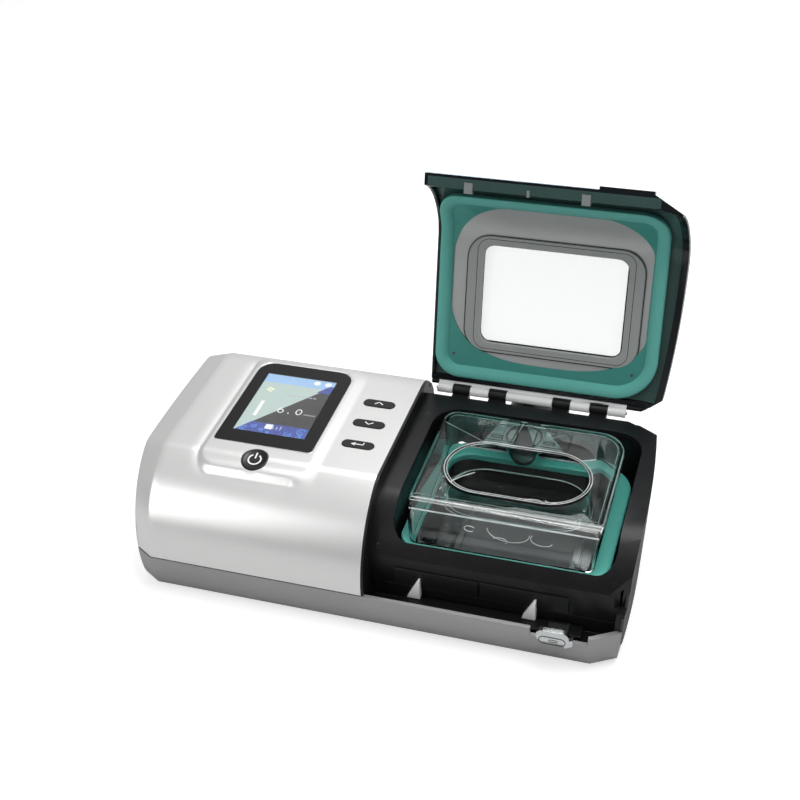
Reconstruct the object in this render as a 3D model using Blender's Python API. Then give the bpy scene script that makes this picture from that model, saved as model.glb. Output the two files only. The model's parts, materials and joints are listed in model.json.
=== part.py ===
"""Bedside positive airway pressure machine with a heated humidifier under a hinged lid, at its real size.

Lengths are metres, +X runs along the machine, +Y to its back and +Z up. The origin is the middle of the
tray's underside. The blower half lies at -X and the humidifier half at +X of the seam at X = 0.
The lid is modelled closed and then turned open about its hinge.
"""

import math

import bmesh
import bpy
from mathutils import Matrix, Vector

# Body
BODY_LENGTH = 0.292
BODY_DEPTH = 0.156
BODY_HEIGHT = 0.082
PARTING_HEIGHT = 0.024
FOLD_ANGLE = math.radians(20.7)
FOLD_SOFTNESS = 0.004
REAR_RADIUS = 0.024
FACET_LENGTH = 0.011
FACET_DEPTH = 0.0065
FACET_DROP = 0.0010
LEFT_BULGE = 0.0025
RIGHT_BULGE = 0.0081
BULGE_PEAK_SHARE = 0.385
RIGHT_LEAN = math.radians(3.2)
CORNER_SOLVE_STEPS = 6
PLANAR_LIMIT = math.radians(0.02)
SHELL_WALL = 0.0022
FIT = 0.0003
OVERRUN = 0.002
ARC_STEPS = 9
ROUND_STEPS = 5
DISC_SIDES = 28
HIDDEN_SIDES = 20
FRONT_RADIUS = (BODY_HEIGHT - PARTING_HEIGHT) / math.cos(FOLD_ANGLE)
HALF_LENGTH = BODY_LENGTH / 2
HALF_DEPTH = BODY_DEPTH / 2
SIDE_HEIGHT = BODY_HEIGHT - PARTING_HEIGHT

# Tray and feet
TRAY_WALL = 0.0024
TRAY_FLOOR = 0.0024
TRAY_TUCK = 0.0045
LEFT_TUCK = 0.0012
RIGHT_TUCK = 0.0012
FOOT_RADIUS = 0.0065
FOOT_DROP = 0.0020
FOOT_POCKET = 0.0010
FOOT_INSET_X = 0.028
FOOT_INSET_Y = 0.022
TRAY_POST_RADIUS = 0.0035

# Ends
END_WALL = 0.0034
PANEL_THICKNESS = 0.0015
PANEL_MARGIN = 0.0035
PANEL_FOOT = 0.0045
PANEL_CORNER = 0.016
PANEL_REAR_MARGIN = 0.0345
PANEL_REAR_DROP = 0.004

# Display and keys
PLATFORM_RISE = 0.0008
PLATFORM_SEAM_MARGIN = 0.0400
PLATFORM_WIDTH = 0.0710
PLATFORM_FRONT_MARGIN = 0.0280
PLATFORM_CORNER = 0.011
PLATFORM_ROLL = 0.009
GLASS_SIDE_MARGIN = 0.0038
GLASS_FRONT_MARGIN = 0.0225
GLASS_BACK_MARGIN = 0.0222
GLASS_WIDTH = 0.0630
GLASS_CORNER = 0.010
GLASS_SHARP_CORNER = 0.0016
GLASS_THICKNESS = 0.0012
GLASS_LEDGE = 0.0020
LCD_WIDTH = 0.052
LCD_END_MARGIN = 0.0075
LCD_SHIFT = -0.003
LCD_THICKNESS = 0.0037
BOARD_THICKNESS = 0.0016
BOARD_SIDE_LAP = 0.0030
BOARD_SEAM_MARGIN = 0.0070
BOARD_FRONT_GAP = 0.0021
BOARD_BACK_MARGIN = 0.0180
BOARD_POST_RADIUS = 0.0030
BOARD_POST_INSET = 0.0040
KEY_RISE = 0.0006
KEY_FLANGE = 0.0012
KEY_FLANGE_THICKNESS = 0.0010
POWER_SHIFT = 0.0003
POWER_FRONT_MARGIN = 0.0108
POWER_RADIUS = 0.0080
PILL_SEAM_MARGIN = 0.0200
PILL_LENGTH = 0.0200
PILL_WIDTH = 0.0066
PILL_BACK_MARGIN = 0.0480
PILL_STEP_SHARE = 0.309
PLATFORM_RIGHT = -PLATFORM_SEAM_MARGIN
PLATFORM_LEFT = PLATFORM_RIGHT - PLATFORM_WIDTH
PLATFORM_FRONT = PLATFORM_FRONT_MARGIN - HALF_DEPTH
GLASS_LEFT = PLATFORM_LEFT + GLASS_SIDE_MARGIN
GLASS_FRONT = PLATFORM_FRONT + GLASS_FRONT_MARGIN
GLASS_LENGTH = HALF_DEPTH - GLASS_BACK_MARGIN - GLASS_FRONT
LCD_LENGTH = GLASS_LENGTH - 2 * LCD_END_MARGIN
BOARD_LEFT = PLATFORM_LEFT - BOARD_SIDE_LAP
BOARD_RIGHT = -BOARD_SEAM_MARGIN
BOARD_BACK = HALF_DEPTH - BOARD_BACK_MARGIN
POWER_X = GLASS_LEFT + GLASS_WIDTH / 2 + POWER_SHIFT
POWER_Y = PLATFORM_FRONT + POWER_FRONT_MARGIN
PILL_X = -PILL_SEAM_MARGIN
PILL_BACK_Y = HALF_DEPTH - PILL_BACK_MARGIN

# Humidifier housing, seen as the black deck, the recess below it and the wall at the seam
DECK_DROP = 0.010
DECK_WALL = 0.0025
BULKHEAD = 0.0012
UPSTAND_GAP = 0.0006
DECK_BACK_MARGIN = 0.0160
RECESS_TOP_SHARE = 0.3707
DECK_CORNER_MARGIN = 0.0125
FASCIA_SET_BACK = 0.0160
FASCIA_WALL = 0.0020
CHEEK_WIDTH = 0.0045
DECK_CUT_MARGIN = 0.0160
DECK_CUT_SLOPE = 0.50
CORNER_WALL = 0.0038
LEDGE_DROP = 0.024
BAY_LEFT = 0.013
BAY_END_MARGIN = 0.0035
BAY_BACK_MARGIN = 0.0120
BAY_FRONT_CORNER = 0.010
BAY_BACK_CORNER = 0.017
DECK_LIP = 0.0012
TUB_WALL = 0.0022
DECK_BACK = HALF_DEPTH - DECK_BACK_MARGIN
DECK_FRONT_HEIGHT = PARTING_HEIGHT + SIDE_HEIGHT * RECESS_TOP_SHARE
DECK_CORNER_X = HALF_LENGTH - DECK_CORNER_MARGIN
FASCIA_Y = FASCIA_SET_BACK - HALF_DEPTH
LEDGE_HEIGHT = BODY_HEIGHT - LEDGE_DROP
BAY_RIGHT = HALF_LENGTH - BAY_END_MARGIN
BAY_FRONT = FASCIA_Y + FASCIA_WALL + 2 * FIT + TUB_WALL
BAY_BACK = DECK_BACK - BAY_BACK_MARGIN

# Hinge
HINGE_BACK_MARGIN = 0.0098
HINGE_DROP = 0.0087
OPEN_ANGLE = math.radians(105.5)
KNUCKLE_RADIUS = 0.0032
KNUCKLE_ROOT_HEIGHT = 0.0058
KNUCKLE_ROOT_DROP = 0.0013
PIN_RADIUS = 0.0010
PIN_OVERHANG = 0.0010
LUG_RADIUS = 0.0030
HINGE_LEFT = 0.0070
HINGE_END_MARGIN = 0.0190
KNUCKLE_WIDTH = 0.0108
KNUCKLE_SHARES = (0.155, 0.316, 0.595, 0.756)
LUG_GAP = 0.0004
LEAF_THICKNESS = 0.0010
HINGE_ROOM = 0.0005
HINGE_Y = HALF_DEPTH - HINGE_BACK_MARGIN
HINGE_Z = BODY_HEIGHT - HINGE_DROP
HINGE_RIGHT = HALF_LENGTH - HINGE_END_MARGIN

# Lid
LID_LEFT = 0.0018
LID_SKIN = 0.0025
LID_DEPTH = 0.0072
UNDER_FACET_SHARE = 0.35
LID_RIM = 0.0015
LID_TIP = 0.0030
LID_TIP_SHARE = 0.2328
LID_BACK_MARGIN = 0.0108
LID_RIM_BACK_MARGIN = 0.0147
LID_REAR_RIM = 0.0030
REAR_CUT_MARGIN = 0.0113
REAR_CUT_SLOPE = 0.79
LINER_THICKNESS = 0.0010
LINER_GAP = 0.0008
PLATE_THICKNESS = 0.0012
GASKET_LEFT = 0.0038
GASKET_END_MARGIN = 0.0030
GASKET_FRONT_MARGIN = 0.0165
GASKET_BACK_MARGIN = 0.0182
GASKET_BAND = 0.0085
GASKET_FRONT_CORNER = 0.0158
GASKET_BACK_CORNER = 0.026
GASKET_WEB = 0.0006
PLATE_MARGIN = 0.0060
WEB_LEFT_MARGIN = 0.0070
WEB_RIGHT_MARGIN = 0.0045
WEB_FRONT_MARGIN = 0.0055
WEB_BACK_MARGIN = 0.0070
WEB_ROUNDNESS = 2.9
WEB_POINTS = 40
WINDOW_LEFT = 0.0312
WINDOW_RIGHT_MARGIN = 0.0255
WINDOW_FRONT_MARGIN = 0.0503
WINDOW_BACK_MARGIN = 0.0430
WINDOW_CORNER = 0.007
PANE_MARGIN = 0.0040
PANE_THICKNESS = 0.0020
FRAME_SIDE_MARGIN = 0.0095
FRAME_END_MARGIN = 0.0055
FRAME_CORNER = 0.014
FRAME_THICKNESS = 0.0009
GRIP_END_MARGIN = 0.0115
GRIP_LENGTH = 0.0310
GRIP_PROUD = 0.0020
GRIP_HEIGHT = 0.0060
TOOTH_WIDTH = 0.0050
TOOTH_LENGTH = 0.0021
TOOTH_HEIGHT = 0.0028
TOOTH_SHIFT = 0.0017
LID_TIP_HEIGHT = PARTING_HEIGHT + SIDE_HEIGHT * LID_TIP_SHARE
LID_BACK = HALF_DEPTH - LID_BACK_MARGIN
LID_RIM_BACK = HALF_DEPTH - LID_RIM_BACK_MARGIN
REAR_CUT_X = HALF_LENGTH - REAR_CUT_MARGIN
DECK_CUT_X = HALF_LENGTH - DECK_CUT_MARGIN
GASKET_RIGHT = HALF_LENGTH - GASKET_END_MARGIN
GASKET_FRONT = GASKET_FRONT_MARGIN - HALF_DEPTH
GASKET_BACK = HALF_DEPTH - GASKET_BACK_MARGIN
WINDOW_RIGHT = HALF_LENGTH - WINDOW_RIGHT_MARGIN
WINDOW_FRONT = WINDOW_FRONT_MARGIN - HALF_DEPTH
WINDOW_BACK = HALF_DEPTH - WINDOW_BACK_MARGIN
GRIP_RIGHT = HALF_LENGTH - GRIP_END_MARGIN
GRIP_LEFT = GRIP_RIGHT - GRIP_LENGTH

# Latch
GUIDE_HEIGHT = 0.0120
GUIDE_THICKNESS = 0.0015
GUIDE_LEFT = 0.0030
LATCH_BAR_LEFT = 0.0220
LATCH_BAR_END_MARGIN = 0.0180
LATCH_BAR_SET_BACK = 0.0060
LATCH_BAR_GAP = 0.0008
LATCH_BAR_HEIGHT = 0.0040
HOOK_SHARES = (0.1644, 0.6336)
HOOK_WIDTH = 0.0080
HOOK_HEIGHT = 0.0140
HOOK_THICKNESS = 0.0035
HOOK_TOP = 0.0012
NOTCH_END_MARGIN = 0.0130
NOTCH_LENGTH = 0.0330
NOTCH_DEPTH = 0.0055
KNOB_SHIFT = 0.0040
KNOB_LENGTH = 0.0190
KNOB_HEIGHT = 0.0085
KNOB_DROP = 0.0045
KNOB_THICKNESS = 0.0034
KNOB_ARM_WIDTH = 0.0120
KNOB_ARM_HEIGHT = 0.0022
KNOB_TAIL = 0.0050
LATCH_BAR_RIGHT = HALF_LENGTH - LATCH_BAR_END_MARGIN
LATCH_BAR_FRONT = LATCH_BAR_SET_BACK - HALF_DEPTH
LATCH_BAR_BACK = FASCIA_Y - LATCH_BAR_GAP
NOTCH_RIGHT = HALF_LENGTH - NOTCH_END_MARGIN
NOTCH_LEFT = NOTCH_RIGHT - NOTCH_LENGTH
KNOB_LEFT = NOTCH_LEFT + KNOB_SHIFT
KNOB_LOW = PARTING_HEIGHT - KNOB_DROP

# Bay
TUB_FLOOR_HEIGHT = 0.0160
TUB_FLOOR = 0.0020
HEATER_SIDE_MARGIN = 0.0272
HEATER_FRONT_MARGIN = 0.0192
HEATER_BACK_MARGIN = 0.0240
HEATER_CORNER = 0.010
HEATER_PROUD = 0.0003
HEATER_FLANGE = 0.0030
HEATER_FLANGE_THICKNESS = 0.0023
ELEMENT_THICKNESS = 0.0012
HEATER_LEFT = BAY_LEFT + HEATER_SIDE_MARGIN
HEATER_RIGHT = BAY_RIGHT - HEATER_SIDE_MARGIN
HEATER_FRONT = BAY_FRONT + HEATER_FRONT_MARGIN
HEATER_BACK = BAY_BACK - HEATER_BACK_MARGIN

# Tank
TANK_DROP = 0.0090
TANK_WALL = 0.0016
COVER_HEIGHT = 0.0225
SEAL_LEFT_MARGIN = 0.0030
SEAL_RIGHT_MARGIN = 0.0035
SEAL_FRONT_MARGIN = 0.0007
SEAL_BACK_MARGIN = 0.0065
SEAL_BAND = 0.0090
SEAL_THICKNESS = 0.0040
SEAL_FRONT_CORNER = 0.012
SEAL_BACK_CORNER = 0.022
COVER_LEFT_MARGIN = 0.0055
COVER_RIGHT_MARGIN = 0.0090
COVER_BACK_MARGIN = 0.0025
COVER_LID_GAP = 0.0014
COVER_FOOT_MARGIN = 0.0031
COVER_LEFT_DRAFT = 0.0040
COVER_RIGHT_DRAFT = 0.0030
COVER_BACK_DRAFT = 0.0050
COVER_FRONT_BEND = 1.3
COVER_FRONT_LEAN = 0.486
COVER_FRONT_CORNER = 0.005
COVER_RIGHT_CORNER = 0.018
COVER_LEFT_CORNER = 0.009
COVER_SOFTNESS = 0.0022
FILLER_SHIFT = 0.0010
FILLER_SIDE_MARGIN = 0.0140
FILLER_FRONT_MARGIN = 0.0114
FILLER_BACK_MARGIN = 0.0292
FILLER_WALL = 0.0015
FILLER_DEPTH = 0.0200
CHANNEL_WIDTH = 0.0250
CHANNEL_DEPTH = 0.0008
BAFFLE_RADIUS = 0.0115
BAFFLE_DEPTH = 0.0200
BAFFLE_SHIFT = 0.0037
BAFFLE_BACK_MARGIN = 0.0150
LOWER_SIDE_MARGIN = 0.0112
LOWER_FRONT_MARGIN = 0.0072
LOWER_BACK_MARGIN = 0.0110
LOWER_DRAFT = 0.0030
LOWER_CORNER = 0.012
LOWER_FLOOR = 0.0016
LOWER_RIM = 0.0014
BASE_PLATE = 0.0010
BASE_PLATE_LAP = 0.0040
TANK_TOP = BODY_HEIGHT - TANK_DROP
SEAL_HIGH = TANK_TOP - COVER_HEIGHT
SEAL_LEFT = BAY_LEFT + SEAL_LEFT_MARGIN
SEAL_RIGHT = BAY_RIGHT - SEAL_RIGHT_MARGIN
SEAL_FRONT = BAY_FRONT + SEAL_FRONT_MARGIN
SEAL_BACK = BAY_BACK - SEAL_BACK_MARGIN
COVER_LEFT = BAY_LEFT + COVER_LEFT_MARGIN
COVER_RIGHT = BAY_RIGHT - COVER_RIGHT_MARGIN
COVER_BACK = BAY_BACK - COVER_BACK_MARGIN
FILLER_X = (COVER_LEFT + COVER_RIGHT) / 2 - FILLER_SHIFT
FILLER_LENGTH = COVER_RIGHT - COVER_LEFT - 2 * FILLER_SIDE_MARGIN
BAFFLE_X = FILLER_X - BAFFLE_SHIFT
BAFFLE_Y = COVER_BACK - BAFFLE_BACK_MARGIN
LOWER_LEFT = BAY_LEFT + LOWER_SIDE_MARGIN
LOWER_RIGHT = BAY_RIGHT - LOWER_SIDE_MARGIN
LOWER_FRONT = BAY_FRONT + LOWER_FRONT_MARGIN
LOWER_BACK = BAY_BACK - LOWER_BACK_MARGIN

# Blower and air path
BLOWER_END_MARGIN = 0.058
BLOWER_Y = 0.008
BLOWER_RADIUS = 0.034
BLOWER_HEIGHT = 0.046
BLOWER_WALL = 0.0020
BLOWER_EYE = 0.0110
MOTOR_RADIUS = 0.0140
MOTOR_HEIGHT = 0.0180
SHAFT_RADIUS = 0.0012
SHAFT_LENGTH = 0.0130
IMPELLER_GAP = 0.0030
IMPELLER_DISC = 0.0014
IMPELLER_HUB = 0.0050
IMPELLER_HEIGHT = 0.0100
BLADE_COUNT = 9
BLADE_THICKNESS = 0.0012
BLADE_SWEEP = math.radians(42)
BLADE_POINTS = 5
DUCT_BACK_MARGIN = 0.0200
DUCT_HEIGHT = 0.0360
DUCT_RADIUS = 0.0090
DUCT_WALL = 0.0014
OUTLET_SHIFT = 0.0122
OUTLET_DROP = 0.0260
OUTLET_RADIUS = 0.0110
OUTLET_WALL = 0.0016
OUTLET_REACH = 0.0160
OUTLET_TAPER = 0.0004
BOSS_RADIUS = 0.0140
BOSS_REACH = 0.0030
FILTER_END_MARGIN = 0.046
FILTER_WIDTH = 0.044
FILTER_TOP_MARGIN = 0.002
FILTER_LOW_MARGIN = 0.006
FILTER_THICKNESS = 0.0040
FILTER_TRAY = 0.0090
FILTER_TRAY_WALL = 0.0015
COVER_LIP = 0.0016
LOUVRE_COUNT = 6
LOUVRE_SHARE = 0.58
SOCKET_SEAM_MARGIN = 0.030
SOCKET_HEIGHT = 0.0340
SOCKET_RADIUS = 0.0056
SOCKET_LENGTH = 0.0110
SOCKET_BORE = 0.0028
SOCKET_PIN = 0.0010
SOCKET_FLANGE = 0.0020
MAIN_BOARD_BLOWER_GAP = 0.008
MAIN_BOARD_SEAM_MARGIN = 0.006
MAIN_BOARD_FRONT_MARGIN = 0.012
MAIN_BOARD_BACK_MARGIN = 0.066
MAIN_BOARD_LIFT = 0.0040
BLOWER_X = BLOWER_END_MARGIN - HALF_LENGTH
IMPELLER_RADIUS = BLOWER_RADIUS - BLOWER_WALL - IMPELLER_GAP
DUCT_Y = BAY_BACK - DUCT_BACK_MARGIN
OUTLET_X = (BAY_LEFT + BAY_RIGHT) / 2 - OUTLET_SHIFT
OUTLET_HEIGHT = BODY_HEIGHT - OUTLET_DROP
FILTER_X = FILTER_END_MARGIN - HALF_LENGTH
FILTER_TOP = BODY_HEIGHT - REAR_RADIUS - FILTER_TOP_MARGIN
FILTER_LOW = PARTING_HEIGHT + FILTER_LOW_MARGIN
FILTER_HEIGHT = FILTER_TOP - FILTER_LOW
FILTER_CENTRE_HEIGHT = (FILTER_TOP + FILTER_LOW) / 2
SOCKET_X = -SOCKET_SEAM_MARGIN
MAIN_BOARD_LEFT = BLOWER_X + BLOWER_RADIUS + MAIN_BOARD_BLOWER_GAP
MAIN_BOARD_RIGHT = -MAIN_BOARD_SEAM_MARGIN
MAIN_BOARD_FRONT = MAIN_BOARD_FRONT_MARGIN - HALF_DEPTH
MAIN_BOARD_BACK = HALF_DEPTH - MAIN_BOARD_BACK_MARGIN

SHELL_LOW = PARTING_HEIGHT + FIT
CLEAR_OF_BODY = BODY_HEIGHT + DECK_DROP


# Scene and materials

def clear_scene():
    for thing in list(bpy.data.objects):
        bpy.data.objects.remove(thing, do_unlink=True)


def material(name, colour, roughness, metallic=0.0, alpha=1.0):
    made = bpy.data.materials.new(name)
    made.use_nodes = True
    surface = made.node_tree.nodes["Principled BSDF"]
    surface.inputs["Base Color"].default_value = (*colour, 1.0)
    surface.inputs["Roughness"].default_value = roughness
    surface.inputs["Metallic"].default_value = metallic
    surface.inputs["Alpha"].default_value = alpha
    made.diffuse_color = (*colour, alpha)
    return made


def palette():
    return {
        "pearl": material("pearl_shell", (0.78, 0.79, 0.78), 0.28, 0.15),
        "silver": material("silver_tray", (0.52, 0.54, 0.54), 0.34, 0.35),
        "panel": material("end_panel_grey", (0.12, 0.13, 0.14), 0.45),
        "black": material("black_deck", (0.012, 0.012, 0.014), 0.25),
        "gloss": material("black_gloss", (0.008, 0.009, 0.012), 0.08),
        "liner": material("smoked_liner", (0.045, 0.075, 0.070), 0.12),
        "teal": material("teal_silicone", (0.11, 0.41, 0.36), 0.42),
        "plate": material("grey_inner_plate", (0.25, 0.26, 0.26), 0.35),
        "frame": material("window_frame_grey", (0.16, 0.17, 0.17), 0.35),
        "clear": material("clear_plastic", (0.90, 0.95, 0.95), 0.03, 0.0, 0.25),
        "chrome": material("chrome", (0.80, 0.81, 0.83), 0.08, 1.0),
        "white": material("white_hook", (0.85, 0.85, 0.84), 0.35),
        "rubber": material("rubber_foot", (0.03, 0.03, 0.03), 0.8),
        "steel": material("steel", (0.62, 0.62, 0.63), 0.25, 1.0),
        "aluminium": material("aluminium_plate", (0.66, 0.67, 0.68), 0.35, 1.0),
        "board": material("circuit_board", (0.03, 0.20, 0.09), 0.5),
        "lcd": material("lcd_screen", (0.05, 0.10, 0.35), 0.15),
        "key": material("key_black", (0.015, 0.015, 0.016), 0.35),
        "duct": material("duct_grey", (0.20, 0.21, 0.22), 0.5),
        "rotor": material("impeller_white", (0.75, 0.76, 0.76), 0.4),
        "foam": material("filter_foam", (0.55, 0.56, 0.55), 0.95),
    }


# Mesh makers

def new_object(name, bm, made=None, sharp=math.radians(35)):
    """Turns a bmesh into an object with its faces out and its round faces smooth."""
    bmesh.ops.recalc_face_normals(bm, faces=bm.faces)
    mesh = bpy.data.meshes.new(name)
    bm.to_mesh(mesh)
    bm.free()
    mesh.shade_smooth()
    mesh.set_sharp_from_angle(angle=sharp)
    thing = bpy.data.objects.new(name, mesh)
    bpy.context.scene.collection.objects.link(thing)
    if made:
        mesh.materials.append(made)
    else:
        thing.hide_render = True
        thing.display_type = "WIRE"
    return thing


def loft(name, rings, made=None, twisted=False):
    """Closed solid through rings of points, flat at the first and the last. Twisted sides are split."""
    bm = bmesh.new()
    rows = [[bm.verts.new(point) for point in ring] for ring in rings]
    sides = []
    for near, far in zip(rows, rows[1:]):
        for i in range(len(near)):
            j = (i + 1) % len(near)
            sides.append(bm.faces.new((near[i], near[j], far[j], far[i])))
    bm.faces.new(rows[0])
    bm.faces.new(rows[-1])
    if twisted:
        bmesh.ops.connect_verts_nonplanar(bm, angle_limit=PLANAR_LIMIT, faces=sides)
    return new_object(name, bm, made)


def prism(name, outline, axis, low, high, made=None):
    """Solid that a flat outline sweeps along X, Y or Z. The outline holds the other two coordinates."""
    index = "XYZ".index(axis)

    def place(pair, along):
        point = list(pair)
        point.insert(index, along)
        return point

    return loft(name, [[place(pair, along) for pair in outline] for along in (low, high)], made)


def box(name, low, high, made=None):
    outline = [(low[0], low[1]), (high[0], low[1]), (high[0], high[1]), (low[0], high[1])]
    return prism(name, outline, "Z", low[2], high[2], made)


def disc_outline(x, y, radius, sides=DISC_SIDES):
    turns = [2 * math.pi * i / sides for i in range(sides)]
    return [(x + radius * math.cos(turn), y + radius * math.sin(turn)) for turn in turns]


def rod(name, centre, radius, axis, low, high, made=None, sides=DISC_SIDES):
    return prism(name, disc_outline(*centre, radius, sides), axis, low, high, made)


def rounded(left, right, front, back, radii, steps=ROUND_STEPS):
    """Rectangle with a radius for each corner: front left, front right, back right, back left."""
    corners = (
        (left, front, 1, 1, math.pi),
        (right, front, -1, 1, 1.5 * math.pi),
        (right, back, -1, -1, 0),
        (left, back, 1, -1, 0.5 * math.pi),
    )
    points = []
    for (x, y, right_way, back_way, start), radius in zip(corners, radii):
        for i in range(steps + 1):
            turn = start + 0.5 * math.pi * i / steps
            points.append((
                x + right_way * radius + radius * math.cos(turn),
                y + back_way * radius + radius * math.sin(turn),
            ))
    return points


def stadium(x, y, length, width, steps=ROUND_STEPS):
    half = length / 2
    radius = width / 2
    return rounded(x - half, x + half, y - radius, y + radius, (radius,) * 4, steps)


def superellipse(left, right, front, back, roundness, count):
    """Rounded opening whose sides swell between a rectangle and an ellipse."""
    points = []
    for i in range(count):
        turn = 2 * math.pi * i / count
        across = math.copysign(abs(math.cos(turn)) ** (2 / roundness), math.cos(turn))
        along = math.copysign(abs(math.sin(turn)) ** (2 / roundness), math.sin(turn))
        points.append((
            (left + right) / 2 + (right - left) / 2 * across,
            (front + back) / 2 + (back - front) / 2 * along,
        ))
    return points


def boolean(thing, other, operation):
    change = thing.modifiers.new(f"{operation.lower()} {other.name}", "BOOLEAN")
    change.operation = operation
    change.solver = "EXACT"
    change.object = other
    return thing


def cut(thing, *others):
    for other in others:
        boolean(thing, other, "DIFFERENCE")
    return thing


def add(thing, *others):
    for other in others:
        boolean(thing, other, "UNION")
    return thing


def keep(thing, *others):
    for other in others:
        boolean(thing, other, "INTERSECT")
    return thing


# Forms that the pieces share

def end_x(y, side, inset, z):
    """Where the bulged end face lies. Side is -1 at the blower end, and 1 at the other, which leans in."""
    flat = HALF_DEPTH - FACET_DEPTH
    if side < 0:
        return -HALF_LENGTH - LEFT_BULGE * (1 - (y / flat) ** 2) + inset
    peak = -HALF_DEPTH * BULGE_PEAK_SHARE
    lean = math.tan(RIGHT_LEAN) * (BODY_HEIGHT - DECK_DROP - z)
    return HALF_LENGTH + RIGHT_BULGE * (1 - ((y - peak) / (flat - peak)) ** 2) - lean - inset


def end_limit(name, side, inset, start):
    """Block from a start place out to the bulged end face, to trim what reaches past it."""
    reach = HALF_DEPTH + OVERRUN
    steps = 2 * ARC_STEPS
    ys = [reach * (2 * i / steps - 1) for i in range(steps + 1)]
    rings = []
    for z in (-OVERRUN, CLEAR_OF_BODY):
        face = [(end_x(y, side, inset, z), y, z) for y in ys]
        rings.append(face + [(start, reach, z), (start, -reach, z)])
    return loft(name, rings)


def front_curve(side, top, low=PARTING_HEIGHT):
    """Points of the barrel front, from its upright foot to the soft fold where the flat top starts."""
    middle = FRONT_RADIUS - BODY_DEPTH / 2
    across = FRONT_RADIUS - side
    rise = FRONT_RADIUS - top
    low_angle = math.acos(max(0.0, low - PARTING_HEIGHT) / rise)
    fold = math.acos((BODY_HEIGHT - top - PARTING_HEIGHT) / rise)
    soft = fold + FOLD_SOFTNESS / across
    turns = [low_angle + (soft - low_angle) * i / ARC_STEPS for i in range(ARC_STEPS + 1)]
    points = [(middle - across * math.sin(t), PARTING_HEIGHT + rise * math.cos(t)) for t in turns]
    points.append((middle - across * math.sin(fold) + FOLD_SOFTNESS, BODY_HEIGHT - top))
    return points


def barrel_y(inset, z):
    """How far forward the barrel front reaches at a height, drawn in by inset."""
    reach = math.sqrt((FRONT_RADIUS - inset) ** 2 - (z - PARTING_HEIGHT) ** 2)
    return FRONT_RADIUS - HALF_DEPTH - reach


def fold_y():
    """Where the barrel front meets the flat top."""
    return FRONT_RADIUS * (1 - math.sin(FOLD_ANGLE)) - HALF_DEPTH


def rear_curve(side, top):
    """Points of the rounded rear edge, from the flat top down to the upright back."""
    turns = [math.pi / 2 * (1 - i / ROUND_STEPS) for i in range(ROUND_STEPS + 1)]
    y = BODY_DEPTH / 2 - REAR_RADIUS
    z = BODY_HEIGHT - REAR_RADIUS
    return [
        (y + (REAR_RADIUS - side) * math.cos(t), z + (REAR_RADIUS - top) * math.sin(t)) for t in turns
    ]


def barrel(side, top, low):
    """Closed outline of the body's cross section, drawn in by side and lowered by top."""
    foot = [(side - BODY_DEPTH / 2, low)] if low < PARTING_HEIGHT else []
    heel = [(BODY_DEPTH / 2 - side, low)]
    return foot + front_curve(side, top, low) + rear_curve(side, top) + heel


def barrel_body(name, side, start, inset, low, made=None, end_inset=None, facet_share=1.0):
    """One half of the barrel with its end drawn in to the facets, set in all over by inset."""
    facet_start = side * (BODY_LENGTH / 2 - FACET_LENGTH)
    beyond = side * (BODY_LENGTH / 2 + FACET_LENGTH)
    rings = []
    for x, share in ((start, 0), (facet_start, 0), (beyond, 2 * facet_share)):
        outline = barrel(inset + share * FACET_DEPTH, inset + share * FACET_DROP, low)
        rings.append([(x, y, z) for y, z in outline])
    body = loft(name, rings, made, twisted=True)
    end_inset = inset if end_inset is None else end_inset
    return keep(body, end_limit(f"{name} end", side, end_inset, start - side * OVERRUN))


def barrel_band(name, outer, inner, left, right, low=PARTING_HEIGHT):
    """Curved sheet between two insets of the barrel, swept along X."""
    reach = BODY_DEPTH / 2
    rim = front_curve(outer, outer) + [(reach, BODY_HEIGHT - outer)]
    under = front_curve(inner, inner) + [(reach, BODY_HEIGHT - inner)]
    return prism(name, rim + under[::-1], "X", left, right)


def curved_plate(name, outline, outer, inner, made):
    """Plate that follows the barrel between two insets, with the given outline seen from above."""
    plate = prism(name, outline, "Z", PARTING_HEIGHT, CLEAR_OF_BODY, made)
    xs = [x for x, _ in outline]
    band = barrel_band(f"{name} band", outer, inner, min(xs) - OVERRUN, max(xs) + OVERRUN)
    return keep(plate, band)


def facet_end(side, way, half, inset, z):
    """How far to the front or the back a corner facet meets the end face."""
    start = HALF_LENGTH - FACET_LENGTH - inset / 2
    y = way * (half - FACET_DEPTH)
    for _ in range(CORNER_SOLVE_STEPS):
        y = way * (half - (abs(end_x(y, side, inset, z)) - start) * FACET_DEPTH / FACET_LENGTH)
    return y


def plan_outline(z, front=0.0, left=0.0, right=0.0, inset=0.0):
    """The body seen from above at a height, with its corner facets and bulged ends, each side tucked in."""
    half = HALF_DEPTH - inset - front
    points = []
    for side, tuck in ((1, right), (-1, left)):
        facet = side * (HALF_LENGTH - FACET_LENGTH - inset / 2 - tuck)
        near = facet_end(side, -side, half, inset, z)
        far = facet_end(side, side, half, inset, z)
        points.append((facet, -side * half))
        for i in range(ARC_STEPS + 1):
            y = near + (far - near) * i / ARC_STEPS
            points.append((end_x(y, side, inset + tuck, z), y))
        points.append((facet, side * half))
    return points


def plan_block(name, inset):
    """Block with the body's plan at every height."""
    rings = []
    for z in (-OVERRUN, CLEAR_OF_BODY):
        rings.append([(x, y, z) for x, y in plan_outline(z, inset=inset)])
    return loft(name, rings, twisted=True)


def tuck_share(height):
    """How far the tray's side is drawn in at a height, from 1 at its underside to 0 at its rim."""
    down = 1 - height / PARTING_HEIGHT
    return 1 - math.sqrt(max(0.0, 1 - down ** 2))


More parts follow.
